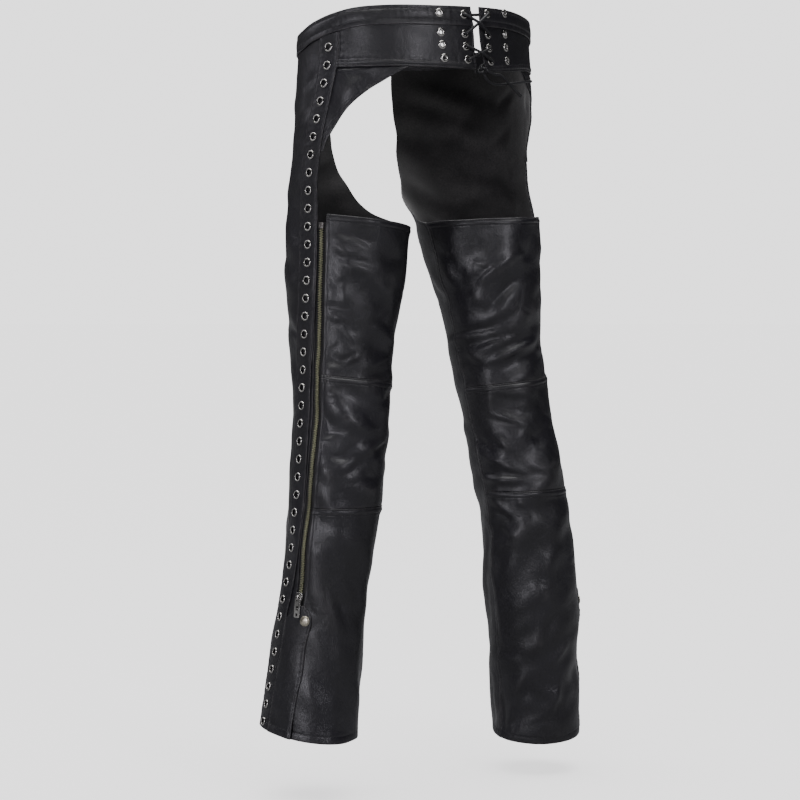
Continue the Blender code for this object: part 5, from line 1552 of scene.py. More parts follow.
NICKEL = aged_metal("aged nickel", (0.45, 0.44, 0.42), (0.17, 0.16, 0.15), 0.2, 0.54)
SNAP_METAL = aged_metal("cap metal", (0.5, 0.47, 0.38), (0.2, 0.18, 0.13), 0.3, 0.44)
BRASS = aged_metal("antique brass", (0.33, 0.33, 0.215), (0.13, 0.13, 0.082), 0.36, 0.5)
BOX_METAL = aged_metal("dull nickel", (0.2, 0.19, 0.18), (0.06, 0.055, 0.05), 0.34, 0.46)
TAPE = twill_tape()
THREAD = waxed_thread("thread", (0.009, 0.009, 0.011), (0.03, 0.029, 0.033))
TACK_THREAD = waxed_thread("tack thread", (0.06, 0.06, 0.062), (0.2, 0.198, 0.2))
LACE_FINISH = hide("lace leather", (0.0035, 0.0036, 0.005), (0.0085, 0.0085, 0.0115), (0.03, 0.03, 0.034),
                   0.46, 1500.0, 0.25, 0.00008, 0.0)
print("finishes:", len(bpy.data.materials))

# %% [markdown]
# ## Pieces set along a path
#
# Stitches, side eyelets and zip teeth are one small piece repeated along a line on the leather. The line
# carries the outward direction at each of its points, so every copy sits square on the surface.

# %% The tree
along_tree, along_in, along_out = new_group(
    "set along a path", "GeometryNodeTree",
    [("Path", "NodeSocketGeometry", None), ("Piece", "NodeSocketObject", None),
     ("Spacing", "NodeSocketFloat", 0.004), ("Turn Each Second", "NodeSocketFloat", 0.0),
     ("Sway", "NodeSocketFloat", 0.0), ("Size Spread", "NodeSocketFloat", 0.0), ("Seed", "NodeSocketInt", 0),
     ("Finish", "NodeSocketMaterial", None)],
    [("Geometry", "NodeSocketGeometry")])


def random_spread(spread, around):
    """A random number between around - spread and around + spread for each point."""
    node = add_node(along_tree, "FunctionNodeRandomValue", data_type="FLOAT", Seed=given["Seed"])
    feed(along_tree, math_node(along_tree, "SUBTRACT", around, spread), node.inputs[2])
    feed(along_tree, math_node(along_tree, "ADD", around, spread), node.inputs[3])
    return node.outputs[1]


given = along_in.outputs
path = add_node(along_tree, "GeometryNodeMeshToCurve", Mesh=given["Path"]).outputs["Curve"]
even_points = add_node(along_tree, "GeometryNodeResampleCurve", mode="LENGTH", Curve=path,
                       Length=given["Spacing"])
out_way = add_node(along_tree, "GeometryNodeInputNamedAttribute", data_type="FLOAT_VECTOR", Name="out")
stand = add_node(along_tree, "FunctionNodeAxesToRotation", primary_axis="X", secondary_axis="Z",
                 Primary_Axis=add_node(along_tree, "GeometryNodeInputTangent").outputs[0],
                 Secondary_Axis=out_way.outputs["Attribute"])
order = add_node(along_tree, "GeometryNodeInputIndex").outputs[0]
every_second = math_node(along_tree, "MULTIPLY", math_node(along_tree, "MODULO", order, 2.0),
                         given["Turn Each Second"])
turn_vector = add_node(along_tree, "ShaderNodeCombineXYZ",
                       Z=math_node(along_tree, "ADD", every_second, random_spread(given["Sway"], 0.0)))
turn_rotation = add_node(along_tree, "FunctionNodeEulerToRotation")
feed(along_tree, turn_vector.outputs[0], turn_rotation.inputs[0])
turned = add_node(along_tree, "FunctionNodeRotateRotation", rotation_space="LOCAL", Rotation=stand.outputs[0],
                  Rotate_By=turn_rotation.outputs[0])
piece_info = add_node(along_tree, "GeometryNodeObjectInfo", Object=given["Piece"])
copies = add_node(along_tree, "GeometryNodeInstanceOnPoints", Points=even_points.outputs["Curve"],
                  Instance=piece_info.outputs["Geometry"], Rotation=turned.outputs[0],
                  Scale=random_spread(given["Size Spread"], 1.0))
real = add_node(along_tree, "GeometryNodeRealizeInstances", Geometry=copies.outputs["Instances"])
finished = add_node(along_tree, "GeometryNodeSetMaterial", Geometry=real.outputs["Geometry"],
                    Material=given["Finish"])
set_sockets(along_tree, along_out, Geometry=finished.outputs["Geometry"])
ALONG_SOCKETS = {socket.name: socket.identifier for socket in along_tree.interface.items_tree
                 if socket.in_out == "INPUT"}


def applied(item):
    """The object with its modifiers made into plain mesh."""
    bpy.context.view_layer.update()
    depsgraph = bpy.context.evaluated_depsgraph_get()
    mesh = bpy.data.meshes.new_from_object(item.evaluated_get(depsgraph), depsgraph=depsgraph)
    item.modifiers.clear()
    item.data = mesh
    return item


def remove(item):
    bpy.data.objects.remove(item, do_unlink=True)


def set_along(name, lines, piece, finish, **values):
    """Copies of a piece along open lines, each line given as its points and outward directions."""
    points = np.vstack([line for line, _ in lines])
    outs = np.vstack([out for _, out in lines]).astype(np.float32)
    links, start = [], 0
    for line, _ in lines:
        links += [(start + i, start + i + 1) for i in range(len(line) - 1)]
        start += len(line)
    mesh = bpy.data.meshes.new(name)
    mesh.from_pydata(points.tolist(), links, [])
    mesh.attributes.new("out", "FLOAT_VECTOR", "POINT").data.foreach_set("vector", outs.ravel())
    item = new_object(name, mesh)
    modifier = item.modifiers.new("copies", "NODES")
    modifier.node_group = along_tree
    for label, value in {"Piece": piece, "Finish": finish, **values}.items():
        modifier[ALONG_SOCKETS[label.replace("_", " ")]] = value
    applied(item)
    item.data.shade_smooth()
    return item


def report(item):
    triangles = sum(len(face.vertices) - 2 for face in item.data.polygons)
    print(f"{item.name}: {triangles} triangles")


# %% [markdown]
# ## Stitches and bar tacks
#
# Each seam is sewn with thick thread, and a bar tack is a row of close stitches where a seam could tear.
# A dashed line in the finish would be cheaper, but it catches no light. Here every stitch is a small
# rounded bead, set along the same lines as the grooves in the leather.

# %% Stitches
STITCH_PITCH = 0.0036
STITCH_SIZE = (0.0029, 0.0008, 0.00062)
STITCH_ROUNDS = (38, 90, 142)
STITCH_LIFT = 0.00008
STITCH_SWAY, STITCH_SPREAD = 0.09, 0.07
EDGE_LINES = 4


def stitch_lines(panel):
    """The outer surface's lines on which a panel's stitches run."""
    rows, columns = panel.layout.turn.shape
    for edge, seam in panel.seams.items():
        for stitch in seam.stitches:
            index = int(np.argmin(np.abs(stations_of(seam) - stitch)))
            inner = slice(EDGE_LINES, -EDGE_LINES)
            pick = {"left": (inner, index), "right": (inner, columns - 1 - index),
                    "top": (index, inner), "bottom": (rows - 1 - index, inner)}[edge]
            yield panel.outer[pick], panel.normal[pick]


rounds = [(math.sin(math.radians(a)), -math.cos(math.radians(a))) for a in STITCH_ROUNDS]
stitch_mesh = lathe("stitch", [(0.0, -1.0), *rounds, (0.0, 1.0)], 6)
stitch_mesh.transform(Matrix.Translation((0, 0, STITCH_LIFT))
                      @ Matrix.Diagonal((*[extent / 2 for extent in STITCH_SIZE], 1.0))
                      @ Matrix.Rotation(math.pi / 2, 4, "Y"))
stitch = new_object("stitch", stitch_mesh)
for number, side in enumerate(SIDES):
    sewn = [front_panels[side]] + [panel for (name, at), panel in panels.items() if at == side]
    lines = [line for panel in sewn for line in stitch_lines(panel)]
    stitches = set_along(f"stitches_{side}", lines, stitch, THREAD, Spacing=STITCH_PITCH, Sway=STITCH_SWAY,
                         Size_Spread=STITCH_SPREAD, Seed=51 + number)
    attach(stitches, "chaps")
    report(stitches)

# %% Bar tacks where the knee seam meets the zip
TACK_PITCH, TACK_SWAY = 0.0031, 0.12
TACK_FROM, TACK_TO, TACK_DEEP = 0.0012, 0.01, 0.0095
for side in SIDES:
    knee = panels["back_knee", side]
    across = (knee.layout.left[0] > TACK_FROM) & (knee.layout.left[0] < TACK_TO)
    rows = np.flatnonzero(knee.layout.top[:, 0] < TACK_DEEP)[2::2]
    lines = [(knee.outer[row, across], knee.normal[row, across]) for row in rows]
    tack = set_along(f"bar_tack_{side}", lines, stitch, TACK_THREAD, Spacing=TACK_PITCH, Sway=TACK_SWAY,
                     Seed=5)
    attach(tack, "chaps")

# %% [markdown]
# ## Eyelets
#
# An eyelet is a short tube of thin metal, pushed through a hole and rolled over. Thirty-nine run down
# each side strip. Sixteen more stand in four columns at the back, and the inner eight carry the lace.
# A flat disc could stand for each. Here each is a turned ring with a rolled rim and a barrel, and the
# holes go right through the leather, because light falls through them.

# %% Turned rings and places on the leather
RING_SIDES, RING_WALL, RING_BACK = 24, 0.0004, -0.0001
DRILL_START = -0.004


def ring_profile(hole, flange, height, barrel):
    """The section of an eyelet: down the barrel, over the rolled rim and back under the flange."""
    wide = flange - hole
    wall = hole + RING_WALL
    return [(hole, -barrel), (hole, 0.55 * height), (hole + 0.12 * wide, 0.86 * height),
            (hole + wide * 0.42, height), (hole + 0.72 * wide, 0.84 * height),
            (flange * 0.965, 0.42 * height), (flange, 0.12 * height), (flange * 0.97, RING_BACK),
            (wall, RING_BACK), (wall, -barrel)]


def drill_mesh(radius, top, sides):
    """A plain cylinder from behind the leather to a height over it."""
    return lathe("drill", ((0, DRILL_START), (radius, DRILL_START), (radius, top), (0, top)), sides)


def one_place(turn, height):
    return np.array([float(turn)]), np.array([float(height)])


def leather_frame(side, form, turn, height, lean=0.0, fold=0.0):
    """Axes on the leather: X across, Y down, Z outwards, the origin on the inner face."""
    place = one_place(turn, height)
    point = form(side, *place)[0]
    normal = outward(form, side, *place)[0]
    lower = form(side, place[0], place[1] - 1e-3)[0]
    down = Vector(lower - point)
    normal = Vector(normal)
    down = (down - normal * down.dot(normal)).normalized()
    down.rotate(Matrix.Rotation(lean, 3, normal))
    axes = Matrix((down.cross(normal), down, normal)).transposed().to_4x4()
    axes.translation = Vector(point) + normal * fold
    return axes


def fold_at(side, form, turn, height):
    place = one_place(turn, height)
    return float(worn(side, leg_place(side, form(side, *place)), place[1])[0])


def merged(name, meshes, finish):
    """Several meshes with their places as one object."""
    shape = bmesh.new()
    for mesh, frame_matrix in meshes:
        part = mesh.copy()
        part.transform(frame_matrix)
        shape.from_mesh(part)
        bpy.data.meshes.remove(part)
    whole = mesh_from(name, shape)
    whole.materials.clear()
    whole.materials.append(finish)
    for face in whole.polygons:
        face.material_index = 0
    return new_object(name, whole)


def drilled(item, drills):
    """The object with every closed shape of the drills cut out."""
    modifier = item.modifiers.new("holes", "BOOLEAN")
    modifier.object = drills
    modifier.operation = "DIFFERENCE"
    modifier.solver = "EXACT"
    applied(item)
    remove(drills)
    return item


def on_chaps(item, slot, *nodes, body="chaps"):
    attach(item, body)
    if nodes:
        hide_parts(*nodes)
    report(item)


# %% The row down each side strip
SIDE_EYELETS = 39
SIDE_ROW_TOP = -0.0377
SIDE_ROW_BOTTOM = {"left": -0.9375, "right": -0.96}
SIDE_HOLE, SIDE_FLANGE, SIDE_HEIGHT, SIDE_BARREL = 0.004, 0.0062, 0.0013, 0.0012
SIDE_DRILL = (SIDE_HOLE + 0.0006, 0.003, 16)
SPACING_TRIM = 0.9995
RING_SWAY = 3.0
side_profile = ring_profile(SIDE_HOLE, SIDE_FLANGE, SIDE_HEIGHT, SIDE_BARREL)
side_mesh = lathe("side_ring", side_profile, RING_SIDES, closed=True)
side_ring = new_object("side_ring", side_mesh)
side_drill = new_object("side_drill", drill_mesh(*SIDE_DRILL))
for number, side in enumerate(SIDES):
    strip = panels["side_strip", side]
    middle = strip.layout.turn.shape[1] // 2
    heights = strip.outer[:, middle, 2]
    inside = (heights < SIDE_ROW_TOP) & (heights > SIDE_ROW_BOTTOM[side])
    line, out = strip.outer[inside, middle], strip.normal[inside, middle]
    spacing = path_length(line) / (SIDE_EYELETS - 1) * SPACING_TRIM
    drills = set_along(f"drills_{side}", [(line, out)], side_drill, NICKEL, Spacing=spacing)
    drilled(strip.item, drills)
    rings = set_along(f"side_eyelets_{side}", [(line, out)], side_ring, NICKEL, Spacing=spacing,
                      Sway=RING_SWAY, Seed=8 + number)
    on_chaps(rings, "aged_nickel")
    finish_leather(strip, side, leg_form, [f"side_strip_{side}"])
    print(f"   {side}: every {spacing * 1000:.1f} mm")
remove(side_ring)
remove(side_drill)
remove(stitch)

# %% The lacing's eyelets
EYELET_HOLE = 0.0024
EYELET_FLANGE = 0.0059
EYELET_BARREL = 0.003
EYELET_HEIGHT = 0.0012
EYELET_COLUMNS = (0.0203, 0.056)
EYELET_ROWS = {"left": (0.0068, -0.0182, -0.0346, -0.052), "right": (0.011, -0.0164, -0.034, -0.0517)}
EYELET_DRILL = (EYELET_BARREL + 0.0003, 0.009, 18)
BELT_PADDING = 0.0004


def eyelet_place(side, column, row):
    distance = EYELET_COLUMNS[column]
    height = EYELET_ROWS[side][row] + YOKES[side].tilt * (distance - EYELET_COLUMNS[0])
    return opening_turn(side, height, distance), height


for side in SIDES:
    rings, drills = [], {0: [], 1: []}
    for row in range(4):
        on_belt = row == 0
        seat = (BELT_TOP_LIFT + BELT_PADDING if on_belt else LEATHER) + SEAM_GAP
        barrel = seat - (OVERLAY if on_belt else 0.0)
        profile = ring_profile(EYELET_HOLE, EYELET_FLANGE, EYELET_HEIGHT, barrel)
        ring = lathe("ring", profile, RING_SIDES, closed=True)
        drill = drill_mesh(*EYELET_DRILL)
        for column in (0, 1):
            axes = leather_frame(side, waist_form, *eyelet_place(side, column, row))
            rings.append((ring, axes @ Matrix.Translation((0, 0, seat))))
            drills[0 if on_belt else 1].append((drill, axes))
    drilled(panels["belt", side].item, merged("belt_drill", drills[0], NICKEL))
    drilled(panels["yoke", side].item, merged("yoke_drill", drills[1], NICKEL))
    finish_leather(panels["belt", side], side, waist_form, [f"belt_{side}"])
    finish_leather(panels["yoke", side], side, waist_form, [f"yoke_{side}"])
    eyelets = merged(f"back_eyelets_{side}", rings, NICKEL)
    on_chaps(eyelets, "aged_nickel", *[f"back_eyelet_{side}_{label}_{row}" for label in ("inner", "outer")
                                       for row in (1, 2, 3, 4)])

# %% [markdown]
# ## Lace
#
# One thong is crossed over the back opening between the inner eyelets. It is tied below the yokes, and
# its two ends fall to the wearer's right.

# %% Route of the lace
LACE = 0.0038
LACE_BEND, BEND_STEPS = 0.0027, 6
LACE_BEHIND = 0.0007
CROSSING_LIFT = {0: 0.0014, 2: -0.0004}
KNOT_SIZE = (0.014, 0.013, 0.0085)
KNOT_PLACE = (0.0008, -0.0648)
KNOT_LEAN = 14.0
KNOT_STEPS, KNOT_TIGHTNESS, KNOT_THINNING = 72, 0.9, 0.92
KNOT_ACROSS, KNOT_DOWN = 2.75, 3.0
ROUTE_STEPS = 8
LACE_POINTS = 36
# Columns: x (+ to the wearer's left), height, lift.
LACE_TAILS = {
    "left": (
        (0.007, -0.059, -0.0032), (0.0044, -0.0672, -0.0022), (0.0044, -0.0676, 0.0004),
    ),
    "right": (
        (-0.0054, -0.059, -0.0032), (-0.0034, -0.0672, -0.0022), (-0.0034, -0.0676, 0.0004),
    ),
}
LACE_ENDS = {
    "long": (
        (-0.0045, -0.069, 0.0044), (-0.008, -0.0752, 0.0044), (-0.015, -0.08, 0.0042),
        (-0.024, -0.0818, 0.004), (-0.035, -0.0819, 0.004), (-0.0524, -0.0793, 0.004),
        (-0.0693, -0.0771, 0.004), (-0.0953, -0.073, 0.0042), (-0.123, -0.069, 0.0045),
    ),
    "short": (
        (-0.007, -0.065, 0.006), (-0.013, -0.0672, 0.0065), (-0.023, -0.0692, 0.0062),
        (-0.033, -0.0696, 0.0068), (-0.0408, -0.0745, 0.0084), (-0.0485, -0.08, 0.0088),
        (-0.058, -0.0849, 0.0082), (-0.0706, -0.0895, 0.0062), (-0.0827, -0.0936, 0.005),
    ),
}


def lifted(side, turn, height, lift):
    place = one_place(turn, height)
    return Vector(waist_form(side, *place)[0] + outward(waist_form, side, *place)[0] * lift)


def waist_place(x, height, lift):
    """A point over the back of the waist; x is + to the wearer's left."""
    return lifted("left", waist_turn("left", x, height), height, lift)


def rounded_path(corners, radius):
    """The points of a thong through corners, each turned as an arc of the radius."""
    points = [corners[0]]
    for before, corner, after in zip(corners, corners[1:], corners[2:]):
        to_before, to_after = before - corner, after - corner
        bend = math.pi - to_before.angle(to_after)
        cut_back = min(radius * math.tan(bend / 2), 0.49 * to_before.length, 0.49 * to_after.length)
        start = corner + to_before.normalized() * cut_back
        end = corner + to_after.normalized() * cut_back
        for step in range(BEND_STEPS + 1):
            share = step / BEND_STEPS
            points.append(start * (1 - share) ** 2 + corner * 2 * share * (1 - share) + end * share**2)
    points.append(corners[-1])
    return points


def smooth_route(corners, count):
    """Evenly spaced points of a smooth curve through the route's own points."""
    ends = [corners[0] * 2 - corners[1], *corners, corners[-1] * 2 - corners[-2]]
    fine = []
    for p0, p1, p2, p3 in zip(ends, ends[1:], ends[2:], ends[3:]):
        for step in range(ROUTE_STEPS):
            t = step / ROUTE_STEPS
            fine.append(0.5 * ((2 * p1) + (p2 - p0) * t + (2 * p0 - 5 * p1 + 4 * p2 - p3) * t * t
                               + (3 * p1 - p0 - 3 * p2 + p3) * t**3))
    fine = np.array([*fine, corners[-1]])
    lengths = running(fine[None])[0]
    wanted = np.linspace(0, lengths[-1], count)
    even = np.stack([np.interp(wanted, lengths, fine[:, k]) for k in range(3)], 1)
    return [Vector(point) for point in even]


def thong(name, points, radius, closed=False, sides=12):
    """A tube along points: rings that turn as little as possible from one to the next."""
    points = [Vector(point) for point in points]
    count = len(points)
    rings, side_way = [], None
    for i, point in enumerate(points):
        before = points[i - 1] if closed or i else point
        after = points[(i + 1) % count] if closed or i < count - 1 else point
        along = (after - before).normalized()
        if side_way is None:
            side_way = along.orthogonal().normalized()
        side_way = (side_way - along * side_way.dot(along)).normalized()
        other = along.cross(side_way)
        rings.append([point + (side_way * math.cos(t) + other * math.sin(t)) * radius
                      for t in (2 * math.pi * k / sides for k in range(sides))])
    shift = 0
    if closed:
        last, first = rings[-1], rings[0]
        shift = min(range(sides), key=lambda k: (last[k] - first[0]).length)
    vertices = [corner for ring in rings for corner in ring]
    faces = between_rings([*range(count), *([0] if closed else [])], sides, shift)
    if not closed:
        for start, at, order in ((0, points[0], -1), ((count - 1) * sides, points[-1], 1)):
            vertices.append(at)
            tip = len(vertices) - 1
            faces += [(start + k, start + (k + 1) % sides, tip)[::order] for k in range(sides)]
    item = closed_object(name, [tuple(v) for v in vertices], faces)
    item.data.materials.append(LACE_FINISH)
    return item


# %% The lace, its knot and its two ends
SEATS = (BELT_TOP_LIFT, LEATHER, LEATHER, LEATHER)
outside = [seat + EYELET_HEIGHT + 2 * SEAM_GAP + LACE / 2 for seat in SEATS]
inside_lift = -(LACE / 2 + LACE_BEHIND)


def through(side, row, outwards):
    lifts = (inside_lift, outside[row]) if outwards else (outside[row], inside_lift)
    return [lifted(side, *eyelet_place(side, 0, row), lift) for lift in lifts]


def crossing(row, over):
    rows = [EYELET_ROWS[side][r] for side in SIDES for r in (row, row + 1)]
    middle = sum(rows) / len(rows)
    lift = outside[row + 1] + CROSSING_LIFT[row] + (LACE + 2 * SEAM_GAP if over else 0.0)
    return [waist_place(float(read_curve(OPENING, middle)[0]), middle, lift)]


corners = [waist_place(*stop) for stop in reversed(LACE_TAILS["left"])]
corners += through("left", 3, True) + crossing(2, False) + through("right", 2, False)
corners += through("right", 1, True) + crossing(0, True) + through("left", 0, False)
corners += through("right", 0, True) + crossing(0, False) + through("left", 1, False)
corners += through("left", 2, True) + crossing(2, True) + through("right", 3, False)
corners += [waist_place(*stop) for stop in LACE_TAILS["right"]]
lace_route = rounded_path(corners, LACE_BEND)
lace = thong("lace", lace_route, LACE / 2)
on_chaps(lace, "lace_leather", "back_lace")

knot_turn = waist_turn("left", KNOT_PLACE[0], KNOT_PLACE[1])
knot_axes = (leather_frame("left", waist_form, knot_turn, KNOT_PLACE[1], math.radians(KNOT_LEAN))
             @ Matrix.Translation((0, 0, OVERLAY + KNOT_SIZE[2] / 2)))
reach = [(extent - LACE * KNOT_TIGHTNESS) / 2 for extent in KNOT_SIZE]
knot_route = []
for i in range(KNOT_STEPS):
    t = 2 * math.pi * i / KNOT_STEPS
    knot_route.append(knot_axes @ Vector((reach[0] * (math.sin(t) + 2 * math.sin(2 * t)) / KNOT_ACROSS,
                                          reach[1] * (math.cos(t) - 2 * math.cos(2 * t)) / KNOT_DOWN,
                                          -reach[2] * math.sin(3 * t))))
knot = thong("knot", knot_route, LACE / 2 * KNOT_THINNING, closed=True)
on_chaps(knot, "lace_leather", "lace_knot")
for name, stops in LACE_ENDS.items():
    route = smooth_route([waist_place(*stop) for stop in stops], LACE_POINTS)
    length = sum((b - a).length for a, b in zip(route, route[1:]))
    end = thong(f"lace_end_{name}_thong", route, LACE / 2)
    on_chaps(end, "lace_leather", f"lace_end_{name}")
    tuple(route[0])
    [tuple(point) for point in route]
    print(f"   {name} end: {length * 1000:.0f} mm")

# %% [markdown]
# ## Zip
#
# The zip runs between the side strip and the back of the leg. Its tape lies behind the opening, and
# each tooth grips the other row's gap. The tape begins about 1 cm below the top of the thigh panel,
# with the box on it and the teeth below that. The slider stands at the lower end with its pull hanging
# down. The teeth could be one ribbed bar. Here each one is a tooth of its own, and every second one is
# turned round, as the two rows of a real zip are.

# %% Tape and teeth
TAPE_THICKNESS = 0.001
TAPE_GAP = 0.0006
CHAIN_HEIGHT = 0.0025
TOOTH_PITCH, CHAIN_STEP = 0.0016, 0.002
ZIP_START = ZIP_TOP - 0.0095
ZIP_BOX = (0.007, 0.008, 0.003)
CHAIN_TOP = ZIP_START - ZIP_BOX[1] + 0.001
TAPE_END = ZIP_END - TAPE_TAIL
chain_low = -TAPE_GAP + SEAM_GAP


def tape_cut(side):
    half = ZIP_OPENING / 2 + ZIP_MARGIN

    def cut(u, v):
        height = ZIP_START + (TAPE_END - ZIP_START) * v
        return zip_angle(side, height, half * (1 - 2 * u)), height

    return cut


def with_cut_map(panel):
    """A map of the piece laid flat, in metres, for a weave that follows it."""
    places = np.stack([panel.layout.left, panel.layout.top], -1).reshape(-1, 2)
    places = np.vstack([places, places])
    mesh = panel.item.data
    corners = np.zeros(len(mesh.loops), np.int32)
    mesh.loops.foreach_get("vertex_index", corners)
    mesh.uv_layers.new(name="cut").data.foreach_set("uv", places[corners].ravel().astype(np.float32))


# Columns: place along the tooth, half its width, half its thickness.
TOOTH_SECTIONS = (
    (-0.00285, 0.00048, 0.0008), (-0.0026, 0.00062, 0.00112), (-0.001, 0.00062, 0.00118),
    (-0.00045, 0.00042, 0.001), (0.00035, 0.00056, 0.001), (0.0009, 0.0005, 0.00088),
    (0.0013, 0.00022, 0.00045))
TOOTH_CORNERS = ((1, 0.6), (0.7, 1), (-0.7, 1), (-1, 0.6), (-1, -0.6), (-0.7, -1), (0.7, -1), (1, -0.6))


def tooth_mesh():
    """One tooth: gripping the tape on one side, a head with a rounded tip across the middle."""
    vertices = []
    for y, wide, tall in TOOTH_SECTIONS:
        for x, z in TOOTH_CORNERS:
            vertices.append((x * wide, y, z * tall))
    faces = between_rings(range(len(TOOTH_SECTIONS)), 8)
    faces += [tuple(range(8))[::-1], tuple(range(len(vertices) - 8, len(vertices)))]
    return closed_object("tooth", vertices, faces)


tooth = tooth_mesh()
for side in SIDES:
    tape = leather_piece(f"zip_tape_{side}_twill", side, leg_form, tape_cut(side),
                         lifts_of(-TAPE_GAP - TAPE_THICKNESS, -TAPE_GAP), edges(*[HIDDEN] * 4), "zip_tape",
                         finishes=(TAPE, TAPE))
    with_cut_map(tape)
    finish_leather(tape, side, leg_form, [f"zip_tape_{side}"])
    heights = np.arange(CHAIN_TOP, ZIP_END, -CHAIN_STEP)
    turns = zip_angle(side, heights)
    points = leg_form(side, turns, heights)
    out = outward(leg_form, side, turns, heights)
    fold = worn(side, leg_place(side, points), heights)
    line = points + out * (chain_low + CHAIN_HEIGHT / 2 + fold)[:, None]
    teeth = set_along(f"zip_teeth_{side}", [(line, out)], tooth, BRASS, Spacing=TOOTH_PITCH,
                      Turn_Each_Second=math.pi)
    on_chaps(teeth, "antique_brass", f"zip_chain_{side}")
remove(tooth)

# %% [markdown]
# ## Small hardware
#
# The slider, its pull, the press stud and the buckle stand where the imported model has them; the box
# stands at the top of the tape. Each could be one carved block, but such parts are stamped or cast as
# plates, so here they are cut from an outline, given thickness and rounded at their edges.

# %% Plates from outlines
def rounded_rectangle(width, length, radius, middle=0.0, steps=5):
    """Corners of a rectangle across X and along Y, each turned in a few steps."""
    points = []
    for i, (x, y) in enumerate(((1, 1), (-1, 1), (-1, -1), (1, -1))):
        for step in range(steps + 1):
            t = math.pi / 2 * (i + step / steps)
            points.append((x * (width / 2 - radius) + radius * math.cos(t),
                           middle + y * (length / 2 - radius) + radius * math.sin(t)))
    return points


def taken(item):
    """The object's mesh, without the object."""
    mesh = item.data
    remove(item)
    return mesh


DRILL_PAST = 0.002
DRILL_EDGE = 0.00001


def plate(name, outline, low, high, round_edge, holes=(), steps=3):
    """A plate with rounded edges; its holes are cut through after the rounding."""
    shape = bmesh.new()
    rings = [[shape.verts.new((x, y, z)) for x, y in outline] for z in (low, high)]
    shape.faces.new(rings[0][::-1])
    shape.faces.new(rings[1])
    for i in range(len(outline)):
        j = (i + 1) % len(outline)
        shape.faces.new((rings[0][i], rings[0][j], rings[1][j], rings[1][i]))
    bmesh.ops.recalc_face_normals(shape, faces=shape.faces)
    rims = [edge for edge in shape.edges if abs(edge.verts[0].co.z - edge.verts[1].co.z) < 1e-6]
    bmesh.ops.bevel(shape, geom=rims, offset=round_edge, segments=steps, profile=0.5, affect="EDGES")
    item = new_object(name, mesh_from(name, shape))
    drills = [taken(plate(f"{name}_hole", hole, low - DRILL_PAST, high + DRILL_PAST, DRILL_EDGE, steps=1))
              for hole in holes]
    if drills:
        drilled(item, merged(f"{name}_drill", [(drill, Matrix.Identity(4)) for drill in drills], NICKEL))
    return item


def soft_edges(item, angle=35.0):
    item.data.shade_smooth()
    item.data.set_sharp_from_angle(angle=math.radians(angle))
    return item


BAR_SIDES = 10


def bar_ring(name, path, half_wide, half_thick):
    """A closed bar with a rounded section along a flat path of (x, y)."""
    count = len(path)
    vertices = []
    section = [(math.cos(t) * half_wide, math.sin(t) * half_thick) for t in
               (2 * math.pi * k / BAR_SIDES for k in range(BAR_SIDES))]
    for i in range(count):
        before, after = Vector((*path[i - 1], 0)), Vector((*path[(i + 1) % count], 0))
        along = (after - before).normalized()
        side_way = along.cross(Vector((0, 0, 1)))
        for wide, thick in section:
            vertices.append(tuple(Vector((*path[i], 0)) + side_way * wide + Vector((0, 0, thick))))
    return closed_object(name, vertices, between_rings([*range(count), 0], BAR_SIDES))


# %% Slider, pull and box of each zip
SLIDER_LENGTH, SLIDER_WIDTH, SLIDER_THICKNESS, SLIDER_PLACE = 0.013, 0.0105, 0.0021, -0.766
BAIL_WALL, BAIL_OPENING, BAIL_CLEAR = 0.0011, 0.0042, 0.0029
PULL_LENGTH, PULL_WIDTH, PULL_THICKNESS, PULL_BAR = 0.028, 0.009, 0.0012, 0.002
PULL_EYE = (0.0046, 0.0038)
PULL_HOLE = 0.0013
PULL_HOLES = (0.0108, 0.0212)
PULL_LEAN = 4.0
PULL_ROUND, EYE_ROUND = 0.0021, 0.0009
SHIELD_EDGE, PULL_EDGE, HOLE_ROUND = 0.00055, 0.00038, 0.9
STEP_PLATE, STEP_SUNK, STEP_RISE, STEP_EDGE = (0.0052, 0.0088, 0.0016), 0.0004, 0.0003, 0.00025
BAIL_WIRE, BAIL_FLATNESS = 0.00056, 2.3
BAIL_POINTS = 15
RAIL, RAIL_UNDER, RAIL_OVER, RAIL_EDGE = (0.005, 0.0058, 0.0012, 0.0148), 0.0001, 0.00018, 0.00012
BOX_ROUND, BOX_EDGE, RIB_ROUND, RIB_EDGE, RIB_SUNK = 0.0015, 0.0006, 0.0006, 0.0002, 0.0004
LUG_SIZE, LUG_RISE, LUG_PLACES = 0.0016, 0.0003, (-0.0022, 0.0022)
slider_seat = chain_low + CHAIN_HEIGHT + SEAM_GAP
plate_top = slider_seat + SLIDER_THICKNESS


def hanging_rectangle(width, length, radius, start):
    """A rounded rectangle that begins at a distance down from the pivot."""
    return rounded_rectangle(width, length, radius, start + length / 2)


